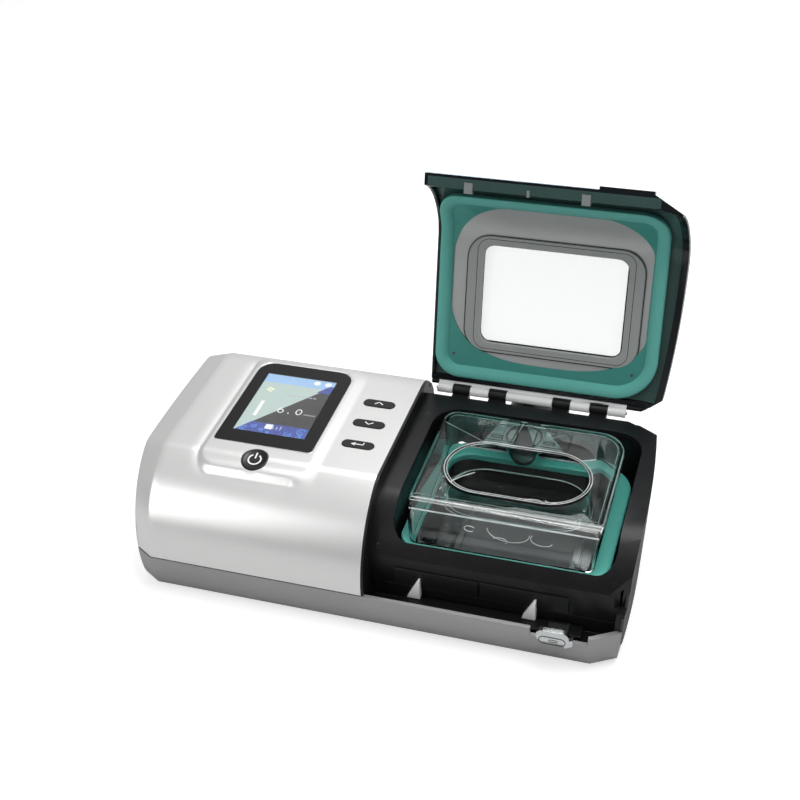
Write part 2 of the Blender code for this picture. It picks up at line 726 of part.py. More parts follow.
def tray_rings(inset, low, high):
    rings = []
    for i in range(ROUND_STEPS + 1):
        z = low + (high - low) * (i / ROUND_STEPS) ** 1.6
        share = tuck_share(min(z, PARTING_HEIGHT))
        outline = plan_outline(z, TRAY_TUCK * share, LEFT_TUCK * share, RIGHT_TUCK * share, inset)
        rings.append([(x, y, z) for x, y in outline])
    return rings


def leaf_outline(side, grow):
    """Outline of the inset end panel, a leaf that follows the barrel."""
    top = PANEL_MARGIN - grow
    if side > 0:
        top += DECK_DROP
    around = FACET_DEPTH + PANEL_MARGIN - grow
    low = PANEL_FOOT - grow
    radius = PANEL_CORNER
    front = around - BODY_DEPTH / 2
    back = BODY_DEPTH / 2 - around
    curve = front_curve(around, top)
    if side > 0:
        step = LID_TIP_HEIGHT - 2 * OVERRUN + grow
        under_lid = front_curve(DECK_DROP + FACET_DEPTH - grow, top, step)
        curve = [point for point in curve if point[1] < step]
        curve += front_curve(around, top, step)[:1] + under_lid
    if side < 0:
        rear = rear_curve(around, top)
    else:
        low_corner = LEDGE_HEIGHT - PANEL_REAR_DROP + grow
        rear = [
            (BODY_DEPTH / 2 - PANEL_REAR_MARGIN + grow, BODY_HEIGHT - top),
            (back - PANEL_REAR_DROP / 2, low_corner),
            (back, low_corner - PANEL_REAR_DROP),
        ]
    corner = []
    for middle, start in ((back - radius, 0.0), (front + radius, -0.5 * math.pi)):
        for i in range(ROUND_STEPS + 1):
            turn = start - 0.5 * math.pi * i / ROUND_STEPS
            corner.append((middle + radius * math.cos(turn), low + radius + radius * math.sin(turn)))
    return curve + rear + corner


def panel_recess(side):
    """What the end panel's pocket takes from the shells and the tray."""
    inner = side * (BODY_LENGTH / 2 - FACET_LENGTH)
    outer = side * (BODY_LENGTH / 2 + FACET_LENGTH)
    name = "left" if side < 0 else "right"
    pocket = prism(f"{name} pocket", leaf_outline(side, FIT), "X", min(inner, outer), max(inner, outer))
    floor = end_limit(f"{name} pocket floor", side, PANEL_THICKNESS + FIT, side * FOOT_INSET_X)
    return cut(pocket, floor)


def end_panel(name, side, made):
    inner = side * (BODY_LENGTH / 2 - FACET_LENGTH)
    outer = side * (BODY_LENGTH / 2 + FACET_LENGTH)
    panel = prism(name, leaf_outline(side, 0.0), "X", min(inner, outer), max(inner, outer), made)
    keep(panel, end_limit(f"{name} face", side, 0.0, side * FOOT_INSET_X))
    return cut(panel, end_limit(f"{name} back", side, PANEL_THICKNESS, side * FOOT_INSET_X))


# Blower half

def base_tray(made, recesses):
    tray = loft("base_tray", tray_rings(0.0, 0.0, PARTING_HEIGHT), made)
    hollow = loft("tray hollow", tray_rings(TRAY_WALL, TRAY_FLOOR, PARTING_HEIGHT + OVERRUN))
    cut(tray, hollow)
    posts = []
    for x, y in main_board_posts():
        posts.append((x, y, TRAY_FLOOR + MAIN_BOARD_LIFT))
    for x in (BAY_LEFT + BAY_BACK_CORNER, BAY_RIGHT - BAY_BACK_CORNER):
        for y in (BAY_FRONT + BAY_BACK_CORNER, BAY_BACK - BAY_BACK_CORNER):
            posts.append((x, y, TUB_FLOOR_HEIGHT - FIT))
    for number, (x, y, top) in enumerate(posts):
        low = TRAY_FLOOR / 2
        add(tray, rod(f"tray post {number}", (x, y), TRAY_POST_RADIUS, "Z", low, top, sides=12))
    for number, (x, y) in enumerate(foot_places()):
        radius = FOOT_RADIUS + FIT
        pocket = rod(f"foot pocket {number}", (x, y), radius, "Z", -OVERRUN, FOOT_POCKET, sides=24)
        cut(tray, pocket)
    notch_low = PARTING_HEIGHT - NOTCH_DEPTH
    notch = box(
        "latch notch",
        (NOTCH_LEFT, -BODY_DEPTH / 2 - OVERRUN, notch_low),
        (NOTCH_RIGHT, -BODY_DEPTH / 2 + TRAY_WALL + OVERRUN, PARTING_HEIGHT + OVERRUN),
    )
    return cut(tray, notch, *recesses)


def foot_places():
    x = BODY_LENGTH / 2 - FOOT_INSET_X
    y = BODY_DEPTH / 2 - FOOT_INSET_Y
    return [(-x, -y), (x, -y), (x, y), (-x, y)]


def feet(made):
    names = ("foot_front_left", "foot_front_right", "foot_back_right", "foot_back_left")
    for name, place in zip(names, foot_places()):
        rod(name, place, FOOT_RADIUS, "Z", -FOOT_DROP, FOOT_POCKET - FIT, made, sides=24)


def platform():
    """Smooth raised panel round the display, level at the back and rolled down at its front edge."""
    top = BODY_HEIGHT + PLATFORM_RISE
    low = BODY_HEIGHT - DECK_DROP - PLATFORM_ROLL
    outline = rounded(
        PLATFORM_LEFT, PLATFORM_RIGHT, PLATFORM_FRONT, BODY_DEPTH / 2 - REAR_RADIUS,
        (PLATFORM_CORNER, PLATFORM_CORNER, PLATFORM_ROLL, PLATFORM_ROLL),
    )
    block = prism("platform", outline, "Z", low, top)
    start = PLATFORM_FRONT + PLATFORM_ROLL
    turns = [math.pi / 2 * i / ROUND_STEPS for i in range(ROUND_STEPS + 1)]
    roll = [
        (start - PLATFORM_ROLL * math.sin(turn), top - PLATFORM_ROLL + PLATFORM_ROLL * math.cos(turn))
        for turn in turns
    ]
    back = BODY_DEPTH / 2 - REAR_RADIUS + OVERRUN
    side_view = [(back, low - OVERRUN), (back, top)] + roll + [(PLATFORM_FRONT, low - OVERRUN)]
    roll = prism("platform roll", side_view, "X", PLATFORM_LEFT - OVERRUN, PLATFORM_RIGHT + OVERRUN)
    return keep(block, roll)


def glass_outline(grow):
    right = GLASS_LEFT + GLASS_WIDTH
    back = GLASS_FRONT + GLASS_LENGTH
    sharp = max(GLASS_SHARP_CORNER + grow, GLASS_SHARP_CORNER / 4)
    soft = GLASS_CORNER + grow
    return rounded(
        GLASS_LEFT - grow, right + grow, GLASS_FRONT - grow, back + grow, (sharp, sharp, soft, soft), 4
    )


def glass_top():
    return BODY_HEIGHT + PLATFORM_RISE


def glass_low():
    return glass_top() - GLASS_THICKNESS


def lcd_low():
    return glass_low() - FIT - LCD_THICKNESS


def board_top():
    return lcd_low() - FIT


def board_front():
    return barrel_y(SHELL_WALL, board_top()) + BOARD_FRONT_GAP


def shell_inner_top():
    return BODY_HEIGHT - SHELL_WALL


def key_places():
    step = (PILL_BACK_Y - fold_y()) * PILL_STEP_SHARE
    keys = [("power_button", disc_outline, (POWER_X, POWER_Y), BODY_HEIGHT + PLATFORM_RISE)]
    for number, name in enumerate(("up_button", "down_button", "enter_button")):
        keys.append((name, stadium, (PILL_X, PILL_BACK_Y - number * step), BODY_HEIGHT))
    return keys


def key_outline(maker, place, grow):
    if maker is disc_outline:
        return disc_outline(*place, POWER_RADIUS + grow, 28)
    return stadium(*place, PILL_LENGTH + 2 * grow, PILL_WIDTH + 2 * grow, 5)


def board_post_places():
    left = BOARD_LEFT + BOARD_POST_INSET
    right = BOARD_RIGHT - BOARD_POST_INSET
    front = board_front() + BOARD_POST_INSET
    back = BOARD_BACK - BOARD_POST_INSET
    return [(left, front), (right, front), (right, back), (left, back)]


def top_shell(made, recess):
    shell = barrel_body("top_shell", -1, -FIT / 2, 0.0, SHELL_LOW, made)
    add(shell, platform())
    start = OVERRUN
    inner = barrel_body("shell hollow", -1, start, SHELL_WALL, PARTING_HEIGHT - OVERRUN)
    keep(inner, end_limit("shell end wall", -1, END_WALL, start + OVERRUN))
    cut(shell, inner)
    pocket = prism("glass pocket", glass_outline(FIT), "Z", glass_low() - FIT, CLEAR_OF_BODY)
    low = shell_inner_top() - OVERRUN
    window = prism("display window", glass_outline(-GLASS_LEDGE), "Z", low, CLEAR_OF_BODY)
    cut(shell, pocket, window)
    for name, maker, place, _ in key_places():
        outline = key_outline(maker, place, FIT)
        cut(shell, prism(f"{name} hole", outline, "Z", shell_inner_top() - OVERRUN, CLEAR_OF_BODY))
        room = key_outline(maker, place, KEY_FLANGE + FIT)
        cut(shell, prism(f"{name} room", room, "Z", board_top(), shell_inner_top()))
    for number, (x, y) in enumerate(board_post_places()):
        top = shell_inner_top() + SHELL_WALL / 2
        low = board_top() + FIT
        add(shell, rod(f"board post {number}", (x, y), BOARD_POST_RADIUS, "Z", low, top, sides=12))
    back = BODY_DEPTH / 2
    port = box("filter port", *filter_box(back - DECK_DROP, back + OVERRUN, FIT))
    socket = rod(
        "socket hole", (SOCKET_X, SOCKET_HEIGHT), SOCKET_RADIUS + FIT,
        "Y", back - DECK_DROP, back + OVERRUN, sides=24,
    )
    return cut(shell, port, socket, recess)


def filter_box(front, back, grow=0.0):
    half_width = FILTER_WIDTH / 2 + grow
    half_height = FILTER_HEIGHT / 2 + grow
    low = (FILTER_X - half_width, front, FILTER_CENTRE_HEIGHT - half_height)
    high = (FILTER_X + half_width, back, FILTER_CENTRE_HEIGHT + half_height)
    return low, high


def display(glass_made, lcd_made, board_made):
    prism("display_glass", glass_outline(0.0), "Z", glass_low(), glass_top(), glass_made)
    middle_x = GLASS_LEFT + GLASS_WIDTH / 2
    middle_y = GLASS_FRONT + GLASS_LENGTH / 2 + LCD_SHIFT
    box(
        "lcd_module",
        (middle_x - LCD_WIDTH / 2, middle_y - LCD_LENGTH / 2, lcd_low()),
        (middle_x + LCD_WIDTH / 2, middle_y + LCD_LENGTH / 2, lcd_low() + LCD_THICKNESS),
        lcd_made,
    )
    board = (BOARD_LEFT, BOARD_RIGHT, board_front(), BOARD_BACK)
    outline = rounded(*board, (BOARD_POST_INSET / 2,) * 4, 2)
    prism("control_board", outline, "Z", board_top() - BOARD_THICKNESS, board_top(), board_made)


def keys(made):
    """Keys that travel down through the shell, each with a flange that keeps it in."""
    for name, maker, place, surface in key_places():
        key_low = shell_inner_top() - 2 * FIT
        key = prism(name, key_outline(maker, place, 0.0), "Z", key_low, surface + KEY_RISE, made)
        top = shell_inner_top() - FIT
        outline = key_outline(maker, place, KEY_FLANGE)
        flange = prism(f"{name} flange", outline, "Z", top - KEY_FLANGE_THICKNESS, top)
        add(key, flange)


# Blower, air path and electrics

def blower(housing_made, motor_made, rotor_made):
    place = (BLOWER_X, BLOWER_Y)
    low = TRAY_FLOOR + FIT
    high = low + BLOWER_HEIGHT
    housing = rod("blower_housing", place, BLOWER_RADIUS, "Z", low, high, housing_made, HIDDEN_SIDES)
    stub_end = BLOWER_X + BLOWER_RADIUS + DUCT_RADIUS
    stub = rod("stub", (DUCT_Y, DUCT_HEIGHT), DUCT_RADIUS, "X", BLOWER_X, stub_end, sides=24)
    inside = rod(
        "volute", place, BLOWER_RADIUS - BLOWER_WALL, "Z", low + BLOWER_WALL, high - BLOWER_WALL,
        sides=HIDDEN_SIDES,
    )
    middle = (DUCT_Y, DUCT_HEIGHT)
    bore = rod("stub bore", middle, DUCT_RADIUS - DUCT_WALL, "X", BLOWER_X, stub_end + OVERRUN, sides=24)
    eye = rod("blower eye", place, BLOWER_EYE, "Z", high - 2 * BLOWER_WALL, high + OVERRUN, sides=24)
    add(housing, stub)
    cut(housing, inside, bore, eye)
    motor_low = low + BLOWER_WALL + FIT
    motor_top = motor_low + MOTOR_HEIGHT
    motor = rod("blower_motor", place, MOTOR_RADIUS, "Z", motor_low, motor_top, motor_made, 28)
    shaft_low = motor_top - OVERRUN
    shaft = rod("motor shaft", place, SHAFT_RADIUS, "Z", shaft_low, motor_top + SHAFT_LENGTH, sides=12)
    add(motor, shaft)
    impeller(rotor_made, motor_top + FIT)


def impeller(made, low):
    place = (BLOWER_X, BLOWER_Y)
    top = low + IMPELLER_DISC
    rotor = rod("impeller", place, IMPELLER_RADIUS, "Z", low, top, made, HIDDEN_SIDES)
    add(rotor, rod("impeller hub", place, IMPELLER_HUB, "Z", low, top + IMPELLER_HEIGHT / 2, sides=20))
    for number in range(BLADE_COUNT):
        blade_low = top - IMPELLER_DISC / 2
        blade = prism(f"blade {number}", blade_outline(number), "Z", blade_low, top + IMPELLER_HEIGHT)
        add(rotor, blade)
    bore = rod("hub bore", place, SHAFT_RADIUS + FIT, "Z", low - OVERRUN, CLEAR_OF_BODY, sides=12)
    return cut(rotor, bore)


def blade_outline(number):
    """One swept blade as a bent strip, from the hub out to the disc's edge."""
    start = 2 * math.pi * number / BLADE_COUNT
    near = IMPELLER_HUB + BLADE_THICKNESS
    reach = IMPELLER_RADIUS - BLADE_THICKNESS - near
    inner = []
    outer = []
    for i in range(BLADE_POINTS):
        share = i / (BLADE_POINTS - 1)
        radius = near + reach * share
        turn = start + BLADE_SWEEP * share ** 1.3
        half = BLADE_THICKNESS / 2 / radius
        for side, points in ((-1, inner), (1, outer)):
            angle = turn + side * half
            points.append((BLOWER_X + radius * math.cos(angle), BLOWER_Y + radius * math.sin(angle)))
    return inner + outer[::-1]


def air_path(duct_made, outlet_made, cover_made, foam_made):
    start = BLOWER_X + BLOWER_RADIUS + DUCT_RADIUS + FIT
    middle = (DUCT_Y, DUCT_HEIGHT)
    duct = rod("air_duct", middle, DUCT_RADIUS, "X", start, BAY_LEFT - FIT, duct_made, 24)
    bore_radius = DUCT_RADIUS - DUCT_WALL
    cut(duct, rod("duct bore", middle, bore_radius, "X", start - OVERRUN, BAY_LEFT + OVERRUN, sides=24))
    outlet(outlet_made)
    filter_set(cover_made, foam_made)


def outlet(made):
    """Tapered hose connector at the back, from the bay out through the housing."""
    centre = (OUTLET_X, OUTLET_HEIGHT)
    near = BAY_BACK + TUB_WALL + FIT
    far = BODY_DEPTH / 2 + OUTLET_REACH
    rings = []
    tip_radius = OUTLET_RADIUS - OUTLET_TAPER
    for y, radius in ((near, OUTLET_RADIUS), (BODY_DEPTH / 2, OUTLET_RADIUS), (far, tip_radius)):
        rings.append([(x, y, z) for x, z in disc_outline(*centre, radius)])
    tube = loft("air_outlet", rings, made)
    bore = rod("outlet bore", centre, OUTLET_RADIUS - OUTLET_WALL, "Y", near - OVERRUN, far + OVERRUN)
    return cut(tube, bore)


def filter_set(cover_made, foam_made):
    """Louvred cover, foam filter and the open tray behind them, in the shell's back wall."""
    back = BODY_DEPTH / 2
    skin = back - SHELL_WALL
    cover = box("filter_cover", *filter_box(skin - FIT, back), cover_made)
    lip_front = skin - FIT - COVER_LIP
    lip = box("cover lip", *filter_box(lip_front, skin - FIT, COVER_LIP))
    add(cover, lip)
    span = FILTER_HEIGHT - 2 * COVER_LIP
    for number in range(LOUVRE_COUNT):
        z = FILTER_CENTRE_HEIGHT + span * ((number + 0.5) / LOUVRE_COUNT - 0.5)
        slit = span / LOUVRE_COUNT * LOUVRE_SHARE
        half = FILTER_WIDTH / 2 - 2 * COVER_LIP
        slot = box(
            f"louvre {number}",
            (FILTER_X - half, lip_front - OVERRUN, z - slit / 2),
            (FILTER_X + half, back + OVERRUN, z + slit / 2),
        )
        cut(cover, slot)
    foam_back = lip_front - FIT
    foam_front = foam_back - FILTER_THICKNESS
    box("air_filter", *filter_box(foam_front, foam_back), foam_made)
    tray_front = foam_back - FILTER_TRAY
    tray = box("filter_tray", *filter_box(tray_front, foam_back, COVER_LIP), cover_made)
    seat = box("filter seat", *filter_box(foam_front - FIT, foam_back + OVERRUN, FIT))
    mouth = box("filter mouth", *filter_box(tray_front - OVERRUN, foam_back, -FILTER_TRAY_WALL))
    cut(tray, seat, mouth)


def electrics(socket_made, board_made):
    back = BODY_DEPTH / 2
    centre = (SOCKET_X, SOCKET_HEIGHT)
    body = rod("power_socket", centre, SOCKET_RADIUS, "Y", back - SOCKET_LENGTH, back, socket_made, 24)
    flange_back = back - SHELL_WALL - FIT
    flange = rod(
        "socket flange", centre, SOCKET_RADIUS + SOCKET_FLANGE,
        "Y", flange_back - SOCKET_FLANGE, flange_back, sides=24,
    )
    add(body, flange)
    bore_end = back - SOCKET_LENGTH + OVERRUN
    cut(body, rod("socket bore", centre, SOCKET_BORE, "Y", bore_end, back + OVERRUN, sides=20))
    add(body, rod("socket pin", centre, SOCKET_PIN, "Y", bore_end - OVERRUN / 2, back - OVERRUN, sides=10))
    low = TRAY_FLOOR + MAIN_BOARD_LIFT + FIT
    outline = rounded(
        MAIN_BOARD_LEFT, MAIN_BOARD_RIGHT, MAIN_BOARD_FRONT, MAIN_BOARD_BACK, (BOARD_POST_INSET / 2,) * 4, 2
    )
    prism("main_board", outline, "Z", low, low + BOARD_THICKNESS, board_made)


def main_board_posts():
    left = MAIN_BOARD_LEFT + BOARD_POST_INSET
    right = MAIN_BOARD_RIGHT - BOARD_POST_INSET
    front = MAIN_BOARD_FRONT + 2 * BOARD_POST_INSET
    back = MAIN_BOARD_BACK - BOARD_POST_INSET
    return [(left, front), (right, front), (right, back), (left, back)]


# Humidifier half

def bay_outline(grow, front=BAY_FRONT):
    corners = (BAY_FRONT_CORNER, BAY_FRONT_CORNER, BAY_BACK_CORNER, BAY_BACK_CORNER)
    radii = [radius + grow for radius in corners]
    return rounded(BAY_LEFT - grow, BAY_RIGHT + grow, front - grow, BAY_BACK + grow, radii)


def deck_outline(inset, back, ledge, low):
    """Cross section of the housing: barrel front, flat deck, and a step down behind the hinge."""
    rear = BODY_DEPTH / 2
    step = inset - DECK_DROP
    foot = [(inset - BODY_DEPTH / 2, low)] if low < PARTING_HEIGHT else []
    points = foot + front_curve(inset, inset, low)
    points += [(back, BODY_HEIGHT - inset), (back, ledge), (rear - step, ledge), (rear - step, low)]
    return points


def rear_corner(name, x, y, slope, low):
    """What a slanted rear corner that starts at x and y takes from the lid, or from the deck under it."""
    reach = 4 * FACET_LENGTH
    back = HALF_DEPTH + OVERRUN
    outline = [(x, y), (x + reach, y - reach * slope), (x + reach, back), (x, back)]
    return prism(name, outline, "Z", low, CLEAR_OF_BODY)


def front_corner(name):
    """What the slanted front corner takes from the deck, so that the lid's lip closes over it."""
    reach = 2 * FACET_LENGTH
    end = DECK_CORNER_X + reach
    near = DECK_DROP - BODY_DEPTH / 2
    far = -BODY_DEPTH / 2 - OVERRUN
    slant = near + reach * FACET_DEPTH / FACET_LENGTH
    outline = [(DECK_CORNER_X, near), (end, slant), (end, far), (DECK_CORNER_X, far)]
    return prism(name, outline, "Z", LID_TIP_HEIGHT - OVERRUN, CLEAR_OF_BODY)


def humidifier_housing(made, recess):
    left = FIT / 2
    beyond = BODY_LENGTH / 2 + FACET_LENGTH
    outline = deck_outline(DECK_DROP, DECK_BACK, LEDGE_HEIGHT, SHELL_LOW)
    housing = prism("humidifier_housing", outline, "X", left, beyond, made)
    keep(housing, plan_block("housing plan", 0.0))
    deck_corner = rear_corner("deck rear corner", DECK_CUT_X, DECK_BACK, DECK_CUT_SLOPE, LEDGE_HEIGHT)
    cut(housing, deck_corner, front_corner("deck front corner"))
    centre = (OUTLET_X, OUTLET_HEIGHT)
    boss = rod("outlet boss", centre, BOSS_RADIUS, "Y", DECK_BACK - DECK_WALL, BODY_DEPTH / 2 + BOSS_REACH)
    add(housing, boss)
    inset = DECK_DROP + DECK_WALL
    inner = prism(
        "housing hollow",
        deck_outline(inset, DECK_BACK - DECK_WALL, LEDGE_HEIGHT - DECK_WALL, PARTING_HEIGHT - OVERRUN),
        "X", left + BULKHEAD, beyond,
    )
    keep(inner, plan_block("hollow plan", END_WALL))
    hollow_back = DECK_BACK - CORNER_WALL
    hollow_low = LEDGE_HEIGHT - DECK_WALL
    cut(inner, rear_corner("hollow rear corner", DECK_CUT_X, hollow_back, DECK_CUT_SLOPE, hollow_low))
    keep(inner, box("hollow front", (0, FASCIA_Y + FASCIA_WALL, 0), (beyond, BODY_DEPTH, CLEAR_OF_BODY)))
    cut(housing, inner)
    recess_low = (left + BULKHEAD, -BODY_DEPTH, 0)
    front_recess = box("front recess", recess_low, (beyond, FASCIA_Y, DECK_FRONT_HEIGHT))
    cut(housing, keep(front_recess, end_limit("cheek", 1, CHEEK_WIDTH, 0)))
    upstand = prism("upstand", barrel(UPSTAND_GAP, UPSTAND_GAP, SHELL_LOW), "X", left, left + BULKHEAD)
    add(housing, upstand)
    opening = prism("bay opening", bay_outline(0.0, BAY_FRONT - DECK_LIP), "Z", 0, CLEAR_OF_BODY)
    cut(housing, opening)
    bore = rod("boss bore", centre, OUTLET_RADIUS + FIT, "Y", BAY_BACK, BODY_DEPTH)
    duct = (DUCT_Y, DUCT_HEIGHT)
    duct_hole = rod("bulkhead hole", duct, DUCT_RADIUS + FIT, "X", -OVERRUN, BAY_LEFT, sides=24)
    cut(housing, bore, duct_hole)
    for number, (low, high) in enumerate(knuckle_places()):
        hinge = (HINGE_Y, HINGE_Z)
        add(housing, rod(f"knuckle {number}", hinge, KNUCKLE_RADIUS, "X", low, high, sides=20))
        root_high = HINGE_Z - KNUCKLE_ROOT_DROP
        root = box(
            f"knuckle root {number}",
            (low + FIT / 2, DECK_BACK - DECK_WALL / 2, root_high - KNUCKLE_ROOT_HEIGHT),
            (high - FIT / 2, HINGE_Y - FIT, root_high),
        )
        add(housing, root)
    pin_bore = rod("pin bore", (HINGE_Y, HINGE_Z), PIN_RADIUS + FIT, "X", 0, BODY_LENGTH / 2, sides=12)
    return cut(housing, pin_bore, recess)


def bay_tub(made):
    inset = DECK_DROP + DECK_WALL + FIT
    outline = bay_outline(TUB_WALL)
    tub = prism("bay_tub", outline, "Z", TUB_FLOOR_HEIGHT, CLEAR_OF_BODY, made)
    under_deck = barrel(inset, inset, 0)
    keep(tub, prism("under deck", under_deck, "X", 0, BODY_LENGTH))
    cut(tub, prism("bay", bay_outline(0.0), "Z", TUB_FLOOR_HEIGHT + TUB_FLOOR, CLEAR_OF_BODY))
    outline = heater_outline(FIT)
    cut(tub, prism("heater hole", outline, "Z", 0, BODY_HEIGHT / 2))
    outlet = (OUTLET_X, OUTLET_HEIGHT)
    cut(tub, rod("air out", outlet, OUTLET_RADIUS - OUTLET_WALL, "Y", 0, BODY_DEPTH, sides=24))
    duct = (DUCT_Y, DUCT_HEIGHT)
    cut(tub, rod("air in", duct, DUCT_RADIUS + FIT, "X", 0, BAY_LEFT + OVERRUN, sides=24))
    return tub


def heater_outline(grow):
    return rounded(
        HEATER_LEFT - grow, HEATER_RIGHT + grow, HEATER_FRONT - grow, HEATER_BACK + grow,
        (HEATER_CORNER + grow,) * 4, 4,
    )


def heater(plate_made, element_made):
    top = TUB_FLOOR_HEIGHT + TUB_FLOOR + HEATER_PROUD
    flange_top = TUB_FLOOR_HEIGHT - FIT
    flange_low = flange_top - HEATER_FLANGE_THICKNESS
    plate_low = flange_top - HEATER_FLANGE_THICKNESS / 2
    plate = prism("heater_plate", heater_outline(0.0), "Z", plate_low, top, plate_made)
    add(plate, prism("heater flange", heater_outline(HEATER_FLANGE), "Z", flange_low, flange_top))
    low = flange_low - FIT
    outline = heater_outline(-HEATER_FLANGE)
    prism("heating_element", outline, "Z", low - ELEMENT_THICKNESS, low, element_made)


def hinge_pin(made):
    left = HINGE_LEFT - PIN_OVERHANG
    right = HINGE_RIGHT + PIN_OVERHANG
    rod("hinge_pin", (HINGE_Y, HINGE_Z), PIN_RADIUS, "X", left, right, made, 12)


def latch(guide_made, bar_made, hook_made, knob_made):
    guide_outline = [
        (-BODY_DEPTH / 2, GUIDE_HEIGHT),
        (-BODY_DEPTH / 2, GUIDE_HEIGHT + GUIDE_THICKNESS),
        (FASCIA_Y, GUIDE_HEIGHT + GUIDE_THICKNESS),
        (FASCIA_Y, PARTING_HEIGHT),
        (FASCIA_Y + FASCIA_WALL, PARTING_HEIGHT),
        (FASCIA_Y + FASCIA_WALL, GUIDE_HEIGHT),
    ]
    guide = prism("latch_guide", guide_outline, "X", GUIDE_LEFT, BODY_LENGTH / 2, guide_made)
    inset = TRAY_WALL + FIT + TRAY_TUCK * tuck_share(GUIDE_HEIGHT)
    keep(guide, prism("guide plan", plan_outline(GUIDE_HEIGHT, inset=inset), "Z", 0, BODY_HEIGHT))
    bar_low = GUIDE_HEIGHT + GUIDE_THICKNESS + FIT
    bar_top = bar_low + LATCH_BAR_HEIGHT
    box(
        "latch_bar",
        (LATCH_BAR_LEFT, LATCH_BAR_FRONT, bar_low),
        (LATCH_BAR_RIGHT, LATCH_BAR_BACK, bar_top),
        bar_made,
    )
    hook_back = FASCIA_Y - FIT
    for name, left in zip(("hook_left", "hook_right"), hook_places()):
        low = bar_top + FIT
        right = left + HOOK_WIDTH
        high = low + HOOK_HEIGHT
        outline = [(left, low), (right, low), (right, high), (right - HOOK_TOP, high)]
        prism(name, outline, "Y", hook_back - HOOK_THICKNESS, hook_back, hook_made)
    knob(knob_made, bar_low, bar_top)


def knob(made, bar_low, bar_top):
    """Chrome slider outside the tray, with a pointed tail and an arm through the notch to the bar."""
    back = -BODY_DEPTH / 2 - FIT
    front = back - KNOB_THICKNESS
    middle = KNOB_LOW + KNOB_HEIGHT / 2
    radius = KNOB_HEIGHT / 2
    outline = stadium(KNOB_LEFT + KNOB_LENGTH / 2, middle, KNOB_LENGTH, KNOB_HEIGHT, 5)
    slider = prism("latch_knob", outline, "Y", front, back, made)
    right = KNOB_LEFT + KNOB_LENGTH
    tail = [
        (right - radius, KNOB_LOW + radius / 2),
        (right - radius / 2, KNOB_LOW - KNOB_TAIL / 2),
        (right + radius / 2, KNOB_LOW),
        (right + radius / 2, middle),
    ]
    add(slider, prism("knob tail", tail, "Y", front, back))
    arm_left = KNOB_LEFT + KNOB_LENGTH / 4
    arm_low = bar_top + FIT
    notch_low = PARTING_HEIGHT - NOTCH_DEPTH + FIT
    arm_low = max(arm_low, notch_low)
    arm = box(
        "knob arm",
        (arm_left, back - KNOB_THICKNESS / 2, arm_low),
        (arm_left + KNOB_ARM_WIDTH, FASCIA_Y - HOOK_THICKNESS, arm_low + KNOB_ARM_HEIGHT),
    )
    return add(slider, arm)


# Tank

def cover_fold():
    return barrel_y(LID_DEPTH, TANK_TOP) + COVER_LID_GAP


def filler_centre():
    front = cover_fold() + FILLER_FRONT_MARGIN
    back = COVER_BACK - FILLER_BACK_MARGIN
    return (front + back) / 2, back - front


def tank_ring(z, grow):
    """Outline of the clear cover at a height, wider at its top and curved down at its front."""
    foot = SEAL_HIGH + FIT
    share = (TANK_TOP - z) / (TANK_TOP - foot)
    left = COVER_LEFT + COVER_LEFT_DRAFT * share
    right = COVER_RIGHT - COVER_RIGHT_DRAFT * share
    back = COVER_BACK - COVER_BACK_DRAFT * share
    fold = cover_fold()
    draft = fold - (BAY_FRONT + COVER_FOOT_MARGIN)
    bent = fold - draft * max(0.0, 1 - (1 - share) ** COVER_FRONT_BEND) ** COVER_FRONT_LEAN
    front = max(bent, barrel_y(LID_DEPTH, z) + FIT)
    radii = [
        max(radius - grow, TANK_WALL / 4)
        for radius in (COVER_FRONT_CORNER, COVER_FRONT_CORNER, COVER_RIGHT_CORNER, COVER_LEFT_CORNER)
    ]
    outline = rounded(left + grow, right - grow, front + grow, back - grow, radii)
    return [(x, y, z) for x, y in outline]


def tank_cover(made):
    foot = SEAL_HIGH + FIT
    height = TANK_TOP - foot
    shares = (0, 0.3, 0.55, 0.75, 0.91)
    outer = [tank_ring(foot + height * share, 0.0) for share in shares]
    top_ring = tank_ring(TANK_TOP - COVER_SOFTNESS / 4, COVER_SOFTNESS / 3)
    outer += [top_ring, [(x, y, TANK_TOP) for x, y, _ in tank_ring(TANK_TOP, COVER_SOFTNESS)]]
    cover = loft("tank_cover", outer, made)
    roof = TANK_TOP - TANK_WALL
    low = foot - OVERRUN
    inner = [[(x, y, low) for x, y, _ in tank_ring(foot, TANK_WALL)]]
    inner += [tank_ring(foot + (roof - foot) * share, TANK_WALL) for share in shares]
    inner.append([(x, y, roof) for x, y, _ in tank_ring(TANK_TOP - TANK_WALL, 2 * TANK_WALL)])
    cut(cover, loft("cover hollow", inner))
    skirt_low = TANK_TOP - FILLER_DEPTH
    filler_y, filler_width = filler_centre()
    length = FILLER_LENGTH + 2 * FILLER_WALL
    width = filler_width + 2 * FILLER_WALL
    outline = stadium(FILLER_X, filler_y, length, width, 8)
    skirt = prism("filler skirt", outline, "Z", skirt_low, TANK_TOP - TANK_WALL / 2)
    hole_outline = stadium(FILLER_X, filler_y, FILLER_LENGTH, filler_width, 8)
    hole = prism("filler hole", hole_outline, "Z", skirt_low - OVERRUN, TANK_TOP + OVERRUN)
    add(cover, skirt)
    half = CHANNEL_WIDTH / 2
    channel = box(
        "channel",
        (BAFFLE_X - half, filler_y, TANK_TOP - CHANNEL_DEPTH),
        (BAFFLE_X + half, COVER_BACK + OVERRUN, TANK_TOP + OVERRUN),
    )
    return cut(cover, hole, channel)


